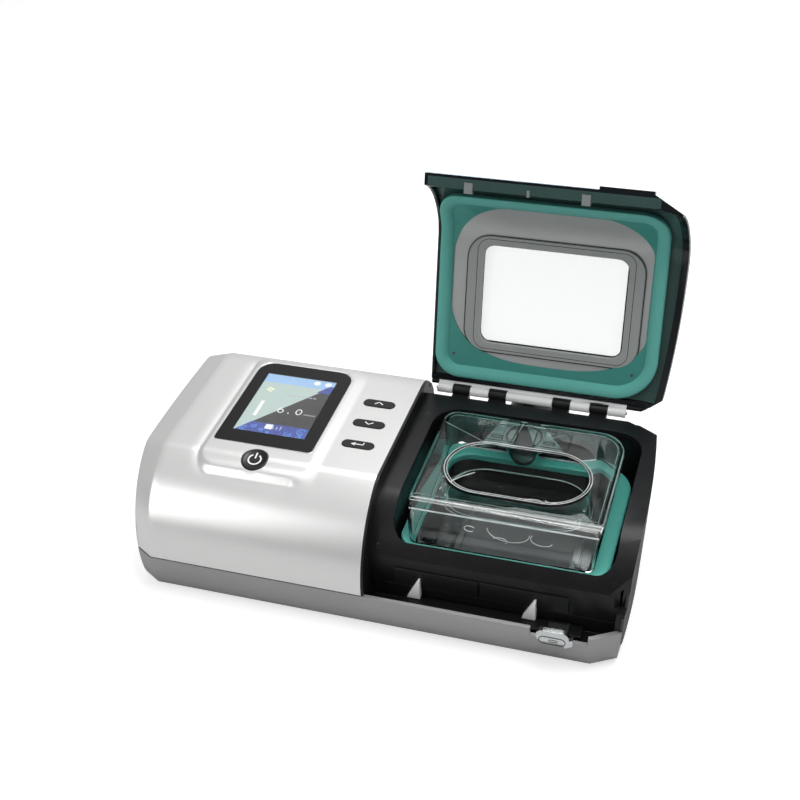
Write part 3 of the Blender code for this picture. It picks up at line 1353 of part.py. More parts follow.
def tank_baffle(made):
    """Bowl under the cover's roof that turns the air down over the water."""
    top = TANK_TOP - TANK_WALL - FIT
    rings = []
    for i in range(5):
        turn = math.pi / 2 * i / 5
        radius = BAFFLE_RADIUS * math.cos(turn)
        rings.append((radius, top - BAFFLE_DEPTH * math.sin(turn)))
    bowl_rings = [[(x, y, z) for x, y in disc_outline(BAFFLE_X, BAFFLE_Y, r, 24)] for r, z in rings]
    bowl = loft("tank_baffle", bowl_rings, made)
    inner = []
    for i in range(5):
        turn = math.pi / 2 * i / 5
        radius = (BAFFLE_RADIUS - TANK_WALL) * math.cos(turn)
        z = top - (BAFFLE_DEPTH - TANK_WALL) * math.sin(turn)
        inner.append([(x, y, z) for x, y in disc_outline(BAFFLE_X, BAFFLE_Y, radius, 24)])
    inner.insert(0, [(x, y, top + OVERRUN) for x, y, _ in inner[0]])
    return cut(bowl, loft("bowl hollow", inner))


def seal_outline(grow):
    radii = [
        radius + grow
        for radius in (SEAL_FRONT_CORNER, SEAL_FRONT_CORNER, SEAL_BACK_CORNER, SEAL_FRONT_CORNER)
    ]
    return rounded(SEAL_LEFT - grow, SEAL_RIGHT + grow, SEAL_FRONT - grow, SEAL_BACK + grow, radii)


def tank_seal(made):
    low = SEAL_HIGH - SEAL_THICKNESS
    seal = prism("tank_seal", seal_outline(0.0), "Z", low, SEAL_HIGH, made)
    return cut(seal, prism("seal mouth", seal_outline(-SEAL_BAND), "Z", low - OVERRUN, SEAL_HIGH + OVERRUN))


def lower_ring(z, low, high, grow):
    share = (high - z) / (high - low)
    draft = LOWER_DRAFT * share + grow
    outline = rounded(
        LOWER_LEFT + draft, LOWER_RIGHT - draft, LOWER_FRONT + draft, LOWER_BACK - draft,
        (LOWER_CORNER - grow,) * 4,
    )
    return [(x, y, z) for x, y in outline]


def tank_lower(made, plate_made):
    plate_low = TUB_FLOOR_HEIGHT + TUB_FLOOR + HEATER_PROUD + FIT
    low = plate_low + BASE_PLATE + FIT
    high = SEAL_HIGH - SEAL_THICKNESS - FIT
    tub = loft("tank_lower", [lower_ring(low, low, high, 0.0), lower_ring(high, low, high, 0.0)], made)
    rim = prism("lower rim", seal_outline(-LOWER_RIM), "Z", high - LOWER_RIM, high)
    add(tub, rim)
    floor = low + LOWER_FLOOR
    inside = [lower_ring(z, low, high, TANK_WALL) for z in (floor, high + OVERRUN)]
    hollow = loft("lower hollow", inside)
    cut(tub, hollow)
    cut(tub, prism("plate window", heater_outline(-BASE_PLATE_LAP), "Z", 0, floor + OVERRUN))
    prism("tank_base_plate", heater_outline(0.0), "Z", plate_low, plate_low + BASE_PLATE, plate_made)
    return tub


# Lid, drawn closed

def knuckle_places():
    middles = [HALF_LENGTH * share for share in KNUCKLE_SHARES]
    return [(middle - KNUCKLE_WIDTH / 2, middle + KNUCKLE_WIDTH / 2) for middle in middles]


def hook_places():
    return [HALF_LENGTH * share for share in HOOK_SHARES]


def lid_shell(made):
    far = HINGE_RIGHT + BODY_LENGTH
    shell = barrel_body("lid_shell", 1, LID_LEFT, 0.0, LID_TIP_HEIGHT, made)
    start = LID_LEFT - OVERRUN
    inner = barrel_body(
        "lid under", 1, start, LID_DEPTH, 0, end_inset=-OVERRUN, facet_share=UNDER_FACET_SHARE
    )
    pocket = barrel_body("lid pocket", 1, LID_LEFT + LID_RIM, LID_SKIN, LID_TIP_HEIGHT + LID_TIP)
    keep(pocket, end_limit("pocket end", 1, LID_RIM + LID_SKIN, 0))
    keep(pocket, box("pocket back", (0, -BODY_DEPTH, 0), (far, LID_RIM_BACK - LID_REAR_RIM, CLEAR_OF_BODY)))
    cut(shell, inner, pocket)
    cut(shell, box("lid end", (-far, LID_BACK, -OVERRUN), (far, BODY_DEPTH, CLEAR_OF_BODY)))
    flat = BODY_HEIGHT - LID_DEPTH
    corner = rear_corner("lid corner", REAR_CUT_X, HINGE_Y, REAR_CUT_SLOPE, -OVERRUN)
    cut(shell, box("flat under", (-far, 0, -OVERRUN), (far, BODY_DEPTH, flat)), corner)
    room = barrel_body("hinge room", 1, LID_LEFT - OVERRUN, LID_SKIN, 0, end_inset=-OVERRUN)
    before = box("before hinge", (-far, -BODY_DEPTH, -OVERRUN), (far, LID_RIM_BACK, CLEAR_OF_BODY))
    cut(shell, cut(room, before))
    room_radius = KNUCKLE_RADIUS + HINGE_ROOM
    cut(shell, rod("knuckle room", (HINGE_Y, HINGE_Z), room_radius, "X", -OVERRUN, BODY_LENGTH))
    cut(shell, prism("pane hole", window_outline(PANE_MARGIN + FIT), "Z", PARTING_HEIGHT, CLEAR_OF_BODY))
    grip = box(
        "grip limit",
        (GRIP_LEFT, -BODY_DEPTH, LID_TIP_HEIGHT),
        (GRIP_RIGHT, 0, LID_TIP_HEIGHT + GRIP_HEIGHT),
    )
    proud = barrel_band("grip band", -GRIP_PROUD, LID_SKIN / 2, GRIP_LEFT - OVERRUN, GRIP_RIGHT + OVERRUN)
    return add(shell, keep(grip, proud))


def window_outline(grow):
    return rounded(
        WINDOW_LEFT - grow, WINDOW_RIGHT + grow, WINDOW_FRONT - grow, WINDOW_BACK + grow,
        (WINDOW_CORNER + grow,) * 4, 5,
    )


def gasket_outline(grow):
    radii = [
        radius + grow
        for radius in (GASKET_FRONT_CORNER, GASKET_FRONT_CORNER, GASKET_BACK_CORNER, GASKET_FRONT_CORNER)
    ]
    return rounded(GASKET_LEFT - grow, GASKET_RIGHT + grow, GASKET_FRONT - grow, GASKET_BACK + grow, radii)


def lid_liner(made):
    outer = LID_SKIN + FIT
    inner = outer + LINER_THICKNESS
    low = LID_TIP_HEIGHT + LID_TIP + FIT
    liner = barrel_body("lid_liner", 1, LID_LEFT + LID_RIM + FIT, outer, low, made)
    keep(liner, end_limit("liner end", 1, LID_RIM + LID_SKIN + FIT, 0))
    cut(liner, barrel_body("liner under", 1, LID_LEFT, inner, 0, end_inset=-OVERRUN))
    back = LID_RIM_BACK - LID_REAR_RIM - FIT
    cut(liner, box("liner back", (-OVERRUN, back, -OVERRUN), (BODY_LENGTH, BODY_DEPTH, CLEAR_OF_BODY)))
    return cut(liner, prism("liner window", window_outline(0.0), "Z", PARTING_HEIGHT, CLEAR_OF_BODY))


def lid_inner(plate_made, gasket_made, frame_made, pane_made):
    hole = prism("lid window", window_outline(0.0), "Z", PARTING_HEIGHT, CLEAR_OF_BODY)
    outer = LID_SKIN + FIT + LINER_THICKNESS + LINER_GAP
    inner = outer + PLATE_THICKNESS
    plate = curved_plate("lid_inner_plate", gasket_outline(-PLATE_MARGIN), outer, inner, plate_made)
    cut(plate, hole)
    web_top = inner + FIT
    ring_low = DECK_DROP - FIT
    gasket = curved_plate("lid_gasket", gasket_outline(0.0), web_top, ring_low, gasket_made)
    well = prism("gasket well", gasket_outline(-GASKET_BAND), "Z", PARTING_HEIGHT, CLEAR_OF_BODY)
    band = barrel_band("well band", web_top + GASKET_WEB, ring_low + OVERRUN, 0, BODY_LENGTH)
    cut(gasket, keep(well, band))
    opening = superellipse(
        GASKET_LEFT + WEB_LEFT_MARGIN, GASKET_RIGHT - WEB_RIGHT_MARGIN,
        GASKET_FRONT + WEB_FRONT_MARGIN, GASKET_BACK - WEB_BACK_MARGIN, WEB_ROUNDNESS, WEB_POINTS,
    )
    mouth = prism("web opening", opening, "Z", PARTING_HEIGHT, CLEAR_OF_BODY)
    keep(mouth, prism("band inside", gasket_outline(-GASKET_BAND), "Z", 0, CLEAR_OF_BODY + OVERRUN))
    cut(gasket, mouth)
    outline = rounded(
        WINDOW_LEFT - FRAME_SIDE_MARGIN, WINDOW_RIGHT + FRAME_SIDE_MARGIN,
        WINDOW_FRONT - FRAME_END_MARGIN, WINDOW_BACK + FRAME_END_MARGIN, (FRAME_CORNER,) * 4,
    )
    frame = curved_plate("window_frame", outline, web_top, web_top + FRAME_THICKNESS, frame_made)
    cut(frame, hole)
    pane_top = BODY_HEIGHT - FIT
    prism("lid_window", window_outline(PANE_MARGIN), "Z", pane_top - PANE_THICKNESS, pane_top, pane_made)


def lid_teeth(made):
    """Short teeth inside the lip, over the hooks."""
    low = LID_TIP_HEIGHT + FIT
    for name, hook in zip(("lid_tooth_left", "lid_tooth_right"), hook_places()):
        left = hook + TOOTH_SHIFT
        tooth = box(
            name,
            (left, -BODY_DEPTH / 2, low),
            (left + TOOTH_WIDTH, 0, low + TOOTH_HEIGHT),
            made,
        )
        near = LID_DEPTH + FIT
        right = left + 2 * TOOTH_WIDTH
        keep(tooth, barrel_band(f"{name} band", near, near + TOOTH_LENGTH, left - OVERRUN, right))


def lug_places():
    edges = [HINGE_LEFT]
    for low, high in knuckle_places():
        edges += [low - LUG_GAP, high + LUG_GAP]
    edges.append(HINGE_RIGHT)
    return list(zip(edges[::2], edges[1::2]))


def lid_hinge_leaf(made):
    """Clear leaf under the lid's rear edge, with a lug round the pin between each pair of knuckles."""
    outer = LID_SKIN + FIT
    inner = outer + LEAF_THICKNESS
    leaf = box(
        "lid_hinge_leaf",
        (HINGE_LEFT, LID_RIM_BACK + FIT, HINGE_Z - LUG_RADIUS),
        (HINGE_RIGHT, LID_BACK, BODY_HEIGHT),
        made,
    )
    keep(leaf, barrel_body("leaf top", 1, -OVERRUN, outer, 0))
    cut(leaf, barrel_body("leaf under", 1, -2 * OVERRUN, inner, 0))
    hinge = (HINGE_Y, HINGE_Z)
    for number, (left, right) in enumerate(knuckle_places()):
        room = KNUCKLE_RADIUS + HINGE_ROOM
        cut(leaf, rod(f"leaf room {number}", hinge, room, "X", left - LUG_GAP, right + LUG_GAP, sides=20))
    for number, (left, right) in enumerate(lug_places()):
        add(leaf, rod(f"lug {number}", hinge, LUG_RADIUS, "X", left, right, sides=20))
    bore = rod("lug bore", (HINGE_Y, HINGE_Z), PIN_RADIUS + FIT, "X", 0, BODY_LENGTH / 2, sides=12)
    return cut(leaf, bore)


def open_lid(before):
    """Hangs everything made for the lid on an empty at the hinge, and turns it open."""
    pivot = bpy.data.objects.new("lid_hinge_axis", None)
    bpy.context.scene.collection.objects.link(pivot)
    pivot.location = (0, HINGE_Y, HINGE_Z)
    for thing in [thing for thing in bpy.data.objects if thing not in before and thing is not pivot]:
        thing.parent = pivot
        thing.matrix_parent_inverse = Matrix.Translation(-Vector((0, HINGE_Y, HINGE_Z)))
    pivot.rotation_euler = (-OPEN_ANGLE, 0, 0)


def main():
    clear_scene()
    made = palette()
    left_recess = panel_recess(-1)
    right_recess = panel_recess(1)
    base_tray(made["silver"], [left_recess, right_recess])
    feet(made["rubber"])
    top_shell(made["pearl"], left_recess)
    end_panel("end_panel_left", -1, made["panel"])
    end_panel("end_panel_right", 1, made["panel"])
    display(made["gloss"], made["lcd"], made["board"])
    keys(made["key"])
    blower(made["duct"], made["steel"], made["rotor"])
    air_path(made["duct"], made["black"], made["black"], made["foam"])
    electrics(made["black"], made["board"])
    humidifier_housing(made["black"], right_recess)
    bay_tub(made["black"])
    heater(made["aluminium"], made["duct"])
    hinge_pin(made["steel"])
    latch(made["black"], made["black"], made["white"], made["chrome"])
    tank_cover(made["clear"])
    tank_baffle(made["clear"])
    tank_seal(made["teal"])
    tank_lower(made["clear"], made["aluminium"])
    before = set(bpy.data.objects)
    lid_shell(made["gloss"])
    lid_liner(made["liner"])
    lid_inner(made["plate"], made["teal"], made["frame"], made["clear"])
    lid_teeth(made["liner"])
    lid_hinge_leaf(made["clear"])
    open_lid(before)


main()
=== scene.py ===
"""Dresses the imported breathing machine: a finish for every CAD node, small trim, stage and camera.

Lengths are metres in the CAD's own frame: +X runs towards the humidifier, +Y to the back and +Z up.
"""

import math

import bmesh
import bpy
from bpy.props import FloatProperty, FloatVectorProperty, PointerProperty
from mathutils import Matrix, Vector
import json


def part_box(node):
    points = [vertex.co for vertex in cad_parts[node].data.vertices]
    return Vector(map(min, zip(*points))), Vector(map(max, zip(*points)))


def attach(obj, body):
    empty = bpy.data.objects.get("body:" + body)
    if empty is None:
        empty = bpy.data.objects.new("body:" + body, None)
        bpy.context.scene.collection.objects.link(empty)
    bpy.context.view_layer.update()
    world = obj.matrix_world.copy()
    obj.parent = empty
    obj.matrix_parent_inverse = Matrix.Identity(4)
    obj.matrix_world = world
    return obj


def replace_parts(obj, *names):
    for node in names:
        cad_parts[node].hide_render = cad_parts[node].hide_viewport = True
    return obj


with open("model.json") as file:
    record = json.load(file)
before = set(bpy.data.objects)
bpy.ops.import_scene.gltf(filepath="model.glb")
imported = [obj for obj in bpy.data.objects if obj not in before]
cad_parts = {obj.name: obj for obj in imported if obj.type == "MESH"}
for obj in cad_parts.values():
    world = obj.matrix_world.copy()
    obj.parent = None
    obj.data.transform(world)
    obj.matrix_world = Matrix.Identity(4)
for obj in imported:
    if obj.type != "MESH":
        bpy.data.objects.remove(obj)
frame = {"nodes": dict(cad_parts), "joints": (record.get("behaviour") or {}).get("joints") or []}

bl_info = {
    "name": "Breathing machine dresser",
    "version": (1, 0, 0),
    "blender": (4, 5, 0),
    "location": "3D View > Sidebar > Breathing machine",
    "description": "Finishes, trim, stage and camera for the packed breathing machine",
    "category": "Object",
}

# Fine points of the meshes

WELD = 0.00001
SMOOTH_ANGLE = math.radians(34)
THIN = 0.00012
LIFT = 0.00006

# Body

BODY_DEPTH = 0.156
BODY_HEIGHT = 0.082
HALF_LENGTH = 0.146
PARTING = 0.024
GROUND = -0.002
FOLD = math.radians(20.7)
FRONT_RADIUS = (BODY_HEIGHT - PARTING) / math.cos(FOLD)
REAR_RADIUS = 0.024
FOLD_LEAD = 0.045
FOLD_SOFT = 0.0055
END_BULGE = 0.0025
END_REACH = 0.0715

# Upper shell, with the places and steps of its rings and the share of each ring in its end

SHELL_LOW = 0.0248
SHELL_SEAM = -0.00015
WALL = 0.0022
END_WALL = 0.0038
GAP = 0.0003
FACET_START = 0.1342
FACET_LENGTH = 0.011
FACET_DEPTH = 0.0065
FACET_DROP = 0.0017
FACET_STEPS = 8
SHELL_STOPS = (
    (-0.0265, 0.004), (-0.0520, 0.0007), (-0.0970, 0.0032), (-0.1240, 0.0007), (-FACET_START, 0.003),
)
END_RINGS = (0.93, 0.7, 0.35)
LIP_WIDTH = 0.0010

# Raised platform: left, right, front and back, its corners, its level and its bent front

PLATFORM = (-0.1112, -0.0400, -0.0500, 0.0600)
PLATFORM_RADIUS = 0.0115
PLATFORM_TOP = 0.0828
BEND_Y = -0.0300
BEND_SOFT = 0.003
KEY_TILT = math.radians(10)
HOLLOW = 0.00055

# Display and keys

GLASS_RADII = (0.0018, 0.0018, 0.0103, 0.0103)
WINDOW_RADII = (0.0008, 0.0008, 0.0076, 0.0076)
LEDGE = 0.0024
SCREEN_LEFT = 0.0078
SCREEN_RIGHT = 0.0087
SCREEN_FRONT = 0.0119
SCREEN_BACK = 0.0108
SCREEN_LINE = 0.00045
SWIRLS = (
    (0.12, 0.05, 0.0021, 20), (0.24, 0.11, 0.0016, 140), (0.36, 0.06, 0.0013, 260), (0.47, 0.035, 0.0011, 60),
    (0.74, 0.05, 0.0022, 110), (0.90, 0.115, 0.0026, 30), (0.90, 0.035, 0.0015, 200),
)
KEY_RINGS = (
    (0.0080, -0.00035), (0.00785, -0.00008), (0.0075, 0.0), (0.0069, -0.00004), (0.0066, -0.00016),
    (0.0040, -0.00022), (0.0012, -0.00024),
)
KEY_HOLE = (0.0206, 0.0072)
POWER_HOLE = 0.0083

# Housing, tank and lid

SCREWS = ((0.0080, 0.0410), (0.1460, 0.0440), (0.0070, -0.0605), (0.1430, -0.0600))
TANK_FOLD = -0.0388
FILLER = (0.0755, -0.0033, 0.0880, 0.0482)
SKIRT = (0.0755, -0.0033, 0.0850, 0.0452)
SKIRT_DROP = 0.0196
BOWL_CURVES = (
    (0.0700, -0.0040, 0.0075, 200, 350), (0.0860, -0.0060, 0.0055, 20, 170),
    (0.0960, -0.0020, 0.0040, 190, 340), (0.0600, -0.0080, 0.0045, 10, 140),
)
FRONT_CURVES = (
    (0.0790, 0.0600, 0.0125, 180, 360), (0.0560, 0.0560, 0.0030, 20, 320),
    (0.0985, 0.0560, 0.0065, 150, 340), (0.0740, 0.0470, 0.0042, -40, 150),
)
GASKET_RADII = (0.0158, 0.0158, 0.0260, 0.0158)
GASKET_BAND = 0.0082
GASKET_PROFILE = (
    (0.00, 0.0042), (0.00, 0.0080), (0.03, 0.0088), (0.10, 0.0094), (0.22, 0.0097), (0.42, 0.0097),
    (0.60, 0.0094), (0.75, 0.0087), (0.87, 0.0077), (0.95, 0.0068), (1.00, 0.0060), (1.00, 0.0042),
)
GASKET_STEP = 0.003
WEB_ROUNDNESS = 2.9

# Stage: each light's name, place, aim, width, height and power, and each wall's axis, start, end and levels

STAGE_LIGHTS = (
    ("key_light", (0.20, 0.22, 1.05), (0.0, 0.0, 0.05), 1.2, 0.60, 9.0),
    ("strip_light", (0.05, -0.02, 0.95), (0.02, -0.04, 0.07), 0.9, 0.05, 1.2),
    ("fill_light", (-0.70, -0.85, 0.50), (0.0, 0.0, 0.08), 0.6, 0.6, 3.5),
)
WALLS = (("Y", -0.96, -0.38, 0.12, 0.95), ("X", -0.60, -0.05, 0.20, 1.0))
ROOM_LIGHT = 0.38
PAPER = 0.62
PAPER_GLOW = 0.60
FLOOR_HALF = 4.0
WHITE = (1.0, 1.0, 1.0, 1.0)


# Camera

CAMERA_AZIMUTH = math.radians(18.852)
CAMERA_ELEVATION = math.radians(36.133)
CAMERA_ROLL = math.radians(-3.087)
CAMERA_DISTANCE = 0.8625
CAMERA_SIDE = -0.0012
CAMERA_RISE = 0.0904
CAMERA_LENS = 61.05
SENSOR = 36.0


# Node trees

def linked(tree, kind, links=(), **values):
    """A shader node with its sockets set from values by name, and some fed by other sockets."""
    made = tree.nodes.new(kind)
    for name, value in values.items():
        setattr(made, name, value)
    for socket, source in links:
        target = made.inputs[socket]
        if isinstance(source, bpy.types.NodeSocket):
            tree.links.new(source, target)
        else:
            target.default_value = source
    return made


def blank(name):
    made = bpy.data.materials.new(name)
    made.use_nodes = True
    tree = made.node_tree
    return made, tree, tree.nodes["Principled BSDF"]


def put(node, **values):
    """Sets a node's sockets by name, each from a plain value or from another socket."""
    for name, value in values.items():
        socket = node.inputs[name.replace("_", " ")]
        if isinstance(value, bpy.types.NodeSocket):
            node.id_data.links.new(value, socket)
        else:
            socket.default_value = value


def noise(tree, scale, detail=2.0):
    """Clouds that stay with the object."""
    place = linked(tree, "ShaderNodeTexCoord").outputs["Object"]
    links = [("Vector", place), ("Scale", scale), ("Detail", detail)]
    return linked(tree, "ShaderNodeTexNoise", links).outputs["Fac"]


def ramp(tree, value, start, end, low=0.0, high=1.0, kind="LINEAR"):
    """Runs from start to end while a value runs from low to high."""
    links = [("Value", value), ("From Min", low), ("From Max", high), ("To Min", start), ("To Max", end)]
    return linked(tree, "ShaderNodeMapRange", links, interpolation_type=kind).outputs["Result"]


def maths(tree, operation, one, two):
    return linked(tree, "ShaderNodeMath", [(0, one), (1, two)], operation=operation).outputs[0]


def shade(colour, amount):
    return tuple(min(1.0, part * amount) for part in colour[:3]) + (1.0,)


def moulded(name, colour, roughness, metallic=0.0, mottle=0.06, mottle_scale=60.0, grain_scale=2600.0,
            grain_height=0.000006, wear=0.06, coat=0.0, specular=0.5):
    """Moulded plastic or metal: slow colour drift, cloudy gloss and a fine moulded grain."""
    made, tree, surface = blank(name)
    tint = linked(tree, "ShaderNodeMix", [("Factor", noise(tree, mottle_scale, 3.0))], data_type="RGBA")
    put(tint, A=shade(colour, 1.0 - mottle), B=shade(colour, 1.0 + mottle))
    gloss = ramp(tree, noise(tree, mottle_scale * 2.3, 5.0), max(0.0, roughness - wear), roughness + wear)
    bump = linked(tree, "ShaderNodeBump", [("Height", noise(tree, grain_scale))])
    put(bump, Strength=1.0, Distance=grain_height)
    put(surface, Base_Color=tint.outputs["Result"], Roughness=gloss, Normal=bump.outputs["Normal"],
        Metallic=metallic, Coat_Weight=coat, Coat_Roughness=0.06, Specular_IOR_Level=specular)
    return made


def clear(name, colour, roughness=0.02, see_through=1.0):
    """Clear plastic that lets light through, with faint clouds of scuffing on its gloss."""
    made, tree, surface = blank(name)
    scuff = ramp(tree, noise(tree, 90.0, 6.0), roughness, roughness + 0.03, 0.45, 0.8)
    put(surface, Base_Color=(*colour, 1.0), Roughness=scuff, Transmission_Weight=see_through, IOR=1.49)
    return made


def silicone(name, colour):
    """Soft translucent rubber with a dull bloom."""
    made = moulded(name, colour, 0.42, mottle=0.05, mottle_scale=45.0, grain_scale=900.0,
                   grain_height=0.00001)
    surface = made.node_tree.nodes["Principled BSDF"]
    put(surface, Subsurface_Weight=0.35, Subsurface_Radius=(0.002, 0.004, 0.004), Subsurface_Scale=1.0)
    return made


def lit(name, colour, strength):
    """A lit part of the screen."""
    made, tree, surface = blank(name)
    glow = ramp(tree, noise(tree, 900.0), strength * 0.9, strength * 1.1)
    put(surface, Base_Color=(0.0, 0.0, 0.0, 1.0), Emission_Color=(*colour[:3], 1.0), Emission_Strength=glow,
        Roughness=0.5)
    return made


def bezel_glass(name, low, high):
    """Black printed glass with a clear rectangle from the low corner to the high corner."""
    made, tree, surface = blank(name)
    place = linked(tree, "ShaderNodeTexCoord").outputs["Object"]
    parts = linked(tree, "ShaderNodeSeparateXYZ", [("Vector", place)]).outputs
    inside = 1.0
    for axis, near, far in (("X", low[0], high[0]), ("Y", low[1], high[1])):
        for operation, edge in (("GREATER_THAN", near), ("LESS_THAN", far)):
            inside = maths(tree, "MULTIPLY", inside, maths(tree, operation, parts[axis], edge))
    tint = linked(tree, "ShaderNodeMix", [("Factor", inside)], data_type="RGBA")
    put(tint, A=(0.006, 0.006, 0.007, 1.0), B=WHITE)
    put(surface, Base_Color=tint.outputs["Result"], Transmission_Weight=inside, Roughness=0.03, IOR=1.45)
    return made


def glint_finish(name, tint, strength):
    """Painted highlight for the rounded edge of a clear moulding: patchy white that lets part of the light
    through.
    """
    made, tree, surface = blank(name)
    cover = ramp(tree, noise(tree, 120.0), 1.0 - strength, 1.0 - strength * 0.6, 0.35, 0.65)
    put(surface, Base_Color=(*tint, 1.0), Transmission_Weight=cover, Roughness=0.10, IOR=1.4)
    return made


# Meshes

def smoothing_group():
    """Geometry nodes that join a CAD node's split points and set its sharp edges by angle."""
    found = bpy.data.node_groups.get("smooth_by_angle")
    if found:
        return found
    group = bpy.data.node_groups.new("smooth_by_angle", "GeometryNodeTree")
    group.interface.new_socket("Geometry", in_out="INPUT", socket_type="NodeSocketGeometry")
    group.interface.new_socket("Geometry", in_out="OUTPUT", socket_type="NodeSocketGeometry")
    source = group.nodes.new("NodeGroupInput")
    target = group.nodes.new("NodeGroupOutput")
    merge = group.nodes.new("GeometryNodeMergeByDistance")
    merge.inputs["Distance"].default_value = WELD
    angle = group.nodes.new("GeometryNodeInputMeshEdgeAngle")
    sharp = group.nodes.new("FunctionNodeCompare")
    sharp.operation = "GREATER_THAN"
    sharp.inputs["B"].default_value = SMOOTH_ANGLE
    normal = group.nodes.new("GeometryNodeSetMeshNormal")
    group.links.new(source.outputs[0], merge.inputs["Geometry"])
    group.links.new(merge.outputs["Geometry"], normal.inputs["Mesh"])
    group.links.new(angle.outputs["Unsigned Angle"], sharp.inputs["A"])
    group.links.new(sharp.outputs["Result"], normal.inputs["Edge Sharpness"])
    group.links.new(normal.outputs["Mesh"], target.inputs[0])
    return group


def soften(thing, width, segments=2):
    """Joins a CAD node's points, shades it by angle and rounds its edges. Its own mesh isn't changed."""
    smooth = thing.modifiers.new("smooth", "NODES")
    smooth.node_group = smoothing_group()
    if width:
        bevel = thing.modifiers.new("edge", "BEVEL")
        bevel.width = width
        bevel.segments = segments
        bevel.limit_method = "ANGLE"
        bevel.angle_limit = SMOOTH_ANGLE
        bevel.harden_normals = True
        bevel.use_clamp_overlap = True
    return thing


def middle_of(node):
    low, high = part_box(node)
    return (low.x + high.x) / 2, (low.y + high.y) / 2


def dress(node, finish, width=0.0, segments=2):
    thing = frame["nodes"][node]
    thing.data.materials.clear()
    thing.data.materials.append(finish)
    return soften(thing, width, segments)


def piece(name, bm, finish, body):
    """Turns a bmesh into a piece that rides on a CAD body."""
    bmesh.ops.recalc_face_normals(bm, faces=bm.faces)
    mesh = bpy.data.meshes.new(name)
    bm.to_mesh(mesh)
    bm.free()
    mesh.shade_smooth()
    mesh.set_sharp_from_angle(angle=SMOOTH_ANGLE)
    mesh.materials.append(finish)
    thing = bpy.data.objects.new(name, mesh)
    bpy.context.scene.collection.objects.link(thing)
    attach(thing, body)
    return thing


def plate(bm, outline, low, high):
    """Adds a flat plate with the given outline between two heights."""
    under = [bm.verts.new((x, y, low)) for x, y in outline]
    top = [bm.verts.new((x, y, high)) for x, y in outline]
    count = len(outline)
    for i in range(count):
        j = (i + 1) % count
        bm.faces.new((under[i], under[j], top[j], top[i]))
    bm.faces.new(under[::-1])
    bm.faces.new(top)


def stroke(bm, path, width, low, high, closed=False):
    """Adds a flat line of even width along a path of points."""
    half = width / 2
    count = len(path)
    left = []
    right = []
    for i in range(count):
        before = Vector(path[i - 1] if i or closed else path[i])
        after = Vector(path[(i + 1) % count] if i < count - 1 or closed else path[i])
        along = (after - before).normalized()
        across = Vector((-along.y, along.x)) * half
        here = Vector(path[i])
        left.append(here + across)
        right.append(here - across)
    rows = []
    for a, b in zip(left, right):
        rows.append([bm.verts.new((*point, z)) for point, z in ((a, low), (b, low), (b, high), (a, high))])
    pairs = list(zip(rows, rows[1:]))
    if closed:
        pairs.append((rows[-1], rows[0]))
    for near, far in pairs:
        for i in range(4):
            j = (i + 1) % 4
            bm.faces.new((near[i], near[j], far[j], far[i]))
    if not closed:
        bm.faces.new(rows[0])
        bm.faces.new(rows[-1])


def arc(x, y, radius, start, end, steps):
    turns = [math.radians(start + (end - start) * i / steps) for i in range(steps + 1)]
    return [(x + radius * math.cos(turn), y + radius * math.sin(turn)) for turn in turns]


def rounded(left, right, front, back, radii, steps=6):
    """Outline of a rectangle with round corners, from the front left one round to the back left one."""
    points = []
    corners = (
        (left, front, 1, 1, 180), (right, front, -1, 1, 270),
        (right, back, -1, -1, 0), (left, back, 1, -1, 90),
    )
    for (x, y, in_x, in_y, start), radius in zip(corners, radii):
        points += arc(x + in_x * radius, y + in_y * radius, radius, start, start + 90, steps)
    return points


def stadium(x, y, length, width, steps=12):
    reach = (length - width) / 2
    return arc(x + reach, y, width / 2, -90, 90, steps) + arc(x - reach, y, width / 2, 90, 270, steps)


def tube(bm, path, radius, closed=False, sides=8):
    """Adds a round rod along a path of points in space."""
    path = [Vector(point) for point in path]
    count = len(path)
    rows = []
    across = None
    for i, here in enumerate(path):
        before = path[i - 1] if i or closed else here
        after = path[(i + 1) % count] if i < count - 1 or closed else here
        along = (after - before).normalized()
        if across is None:
            across = along.orthogonal().normalized()
        across = (across - along * across.dot(along)).normalized()
        other = along.cross(across)
        ring = arc(0.0, 0.0, radius, 0, 360 * (sides - 1) / sides, sides - 1)
        rows.append([bm.verts.new(here + x * across + y * other) for x, y in ring])
    pairs = list(zip(rows, rows[1:]))
    if closed:
        shift = min(range(sides), key=lambda k: (rows[0][k].co - rows[-1][0].co).length)
        pairs.append((rows[-1], rows[0][shift:] + rows[0][:shift]))
    for near, far in pairs:
        for i in range(sides):
            j = (i + 1) % sides
            bm.faces.new((near[i], near[j], far[j], far[i]))
    if not closed:
        bm.faces.new(rows[0])
        bm.faces.new(rows[-1])


def level(outline, z):
    return [(x, y, z) for x, y in outline]


def rods(name, paths, finish, body):
    """One piece of round rods. Each has its path, its radius and, where it runs back into itself, True."""
    bm = bmesh.new()
    for path, radius, *closed in paths:
        tube(bm, path, radius, *closed)
    return piece(name, bm, finish, body)


def rings(bm, loops, closed=False):
    """Joins rings of points into a skin. A closed skin runs on from the last ring to the first."""
    rows = [[bm.verts.new(point) for point in loop] for loop in loops]
    pairs = list(zip(rows, rows[1:]))
    if closed:
        pairs.append((rows[-1], rows[0]))
    for near, far in pairs:
        for i in range(len(near)):
            j = (i + 1) % len(near)
            bm.faces.new((near[i], near[j], far[j], far[i]))
    if not closed:
        bm.faces.new(rows[0])
        bm.faces.new(rows[-1])


def inset_loop(outline, amount):
    """Moves each point of a closed outline inwards by an amount."""
    points = [Vector(point) for point in outline]
    count = len(points)
    moved = []
    for i, here in enumerate(points):
        along = (points[(i + 1) % count] - points[i - 1]).normalized()
        moved.append(here + Vector((-along.y, along.x)) * amount)
    return [(point.x, point.y) for point in moved]


# The barrel's cross section


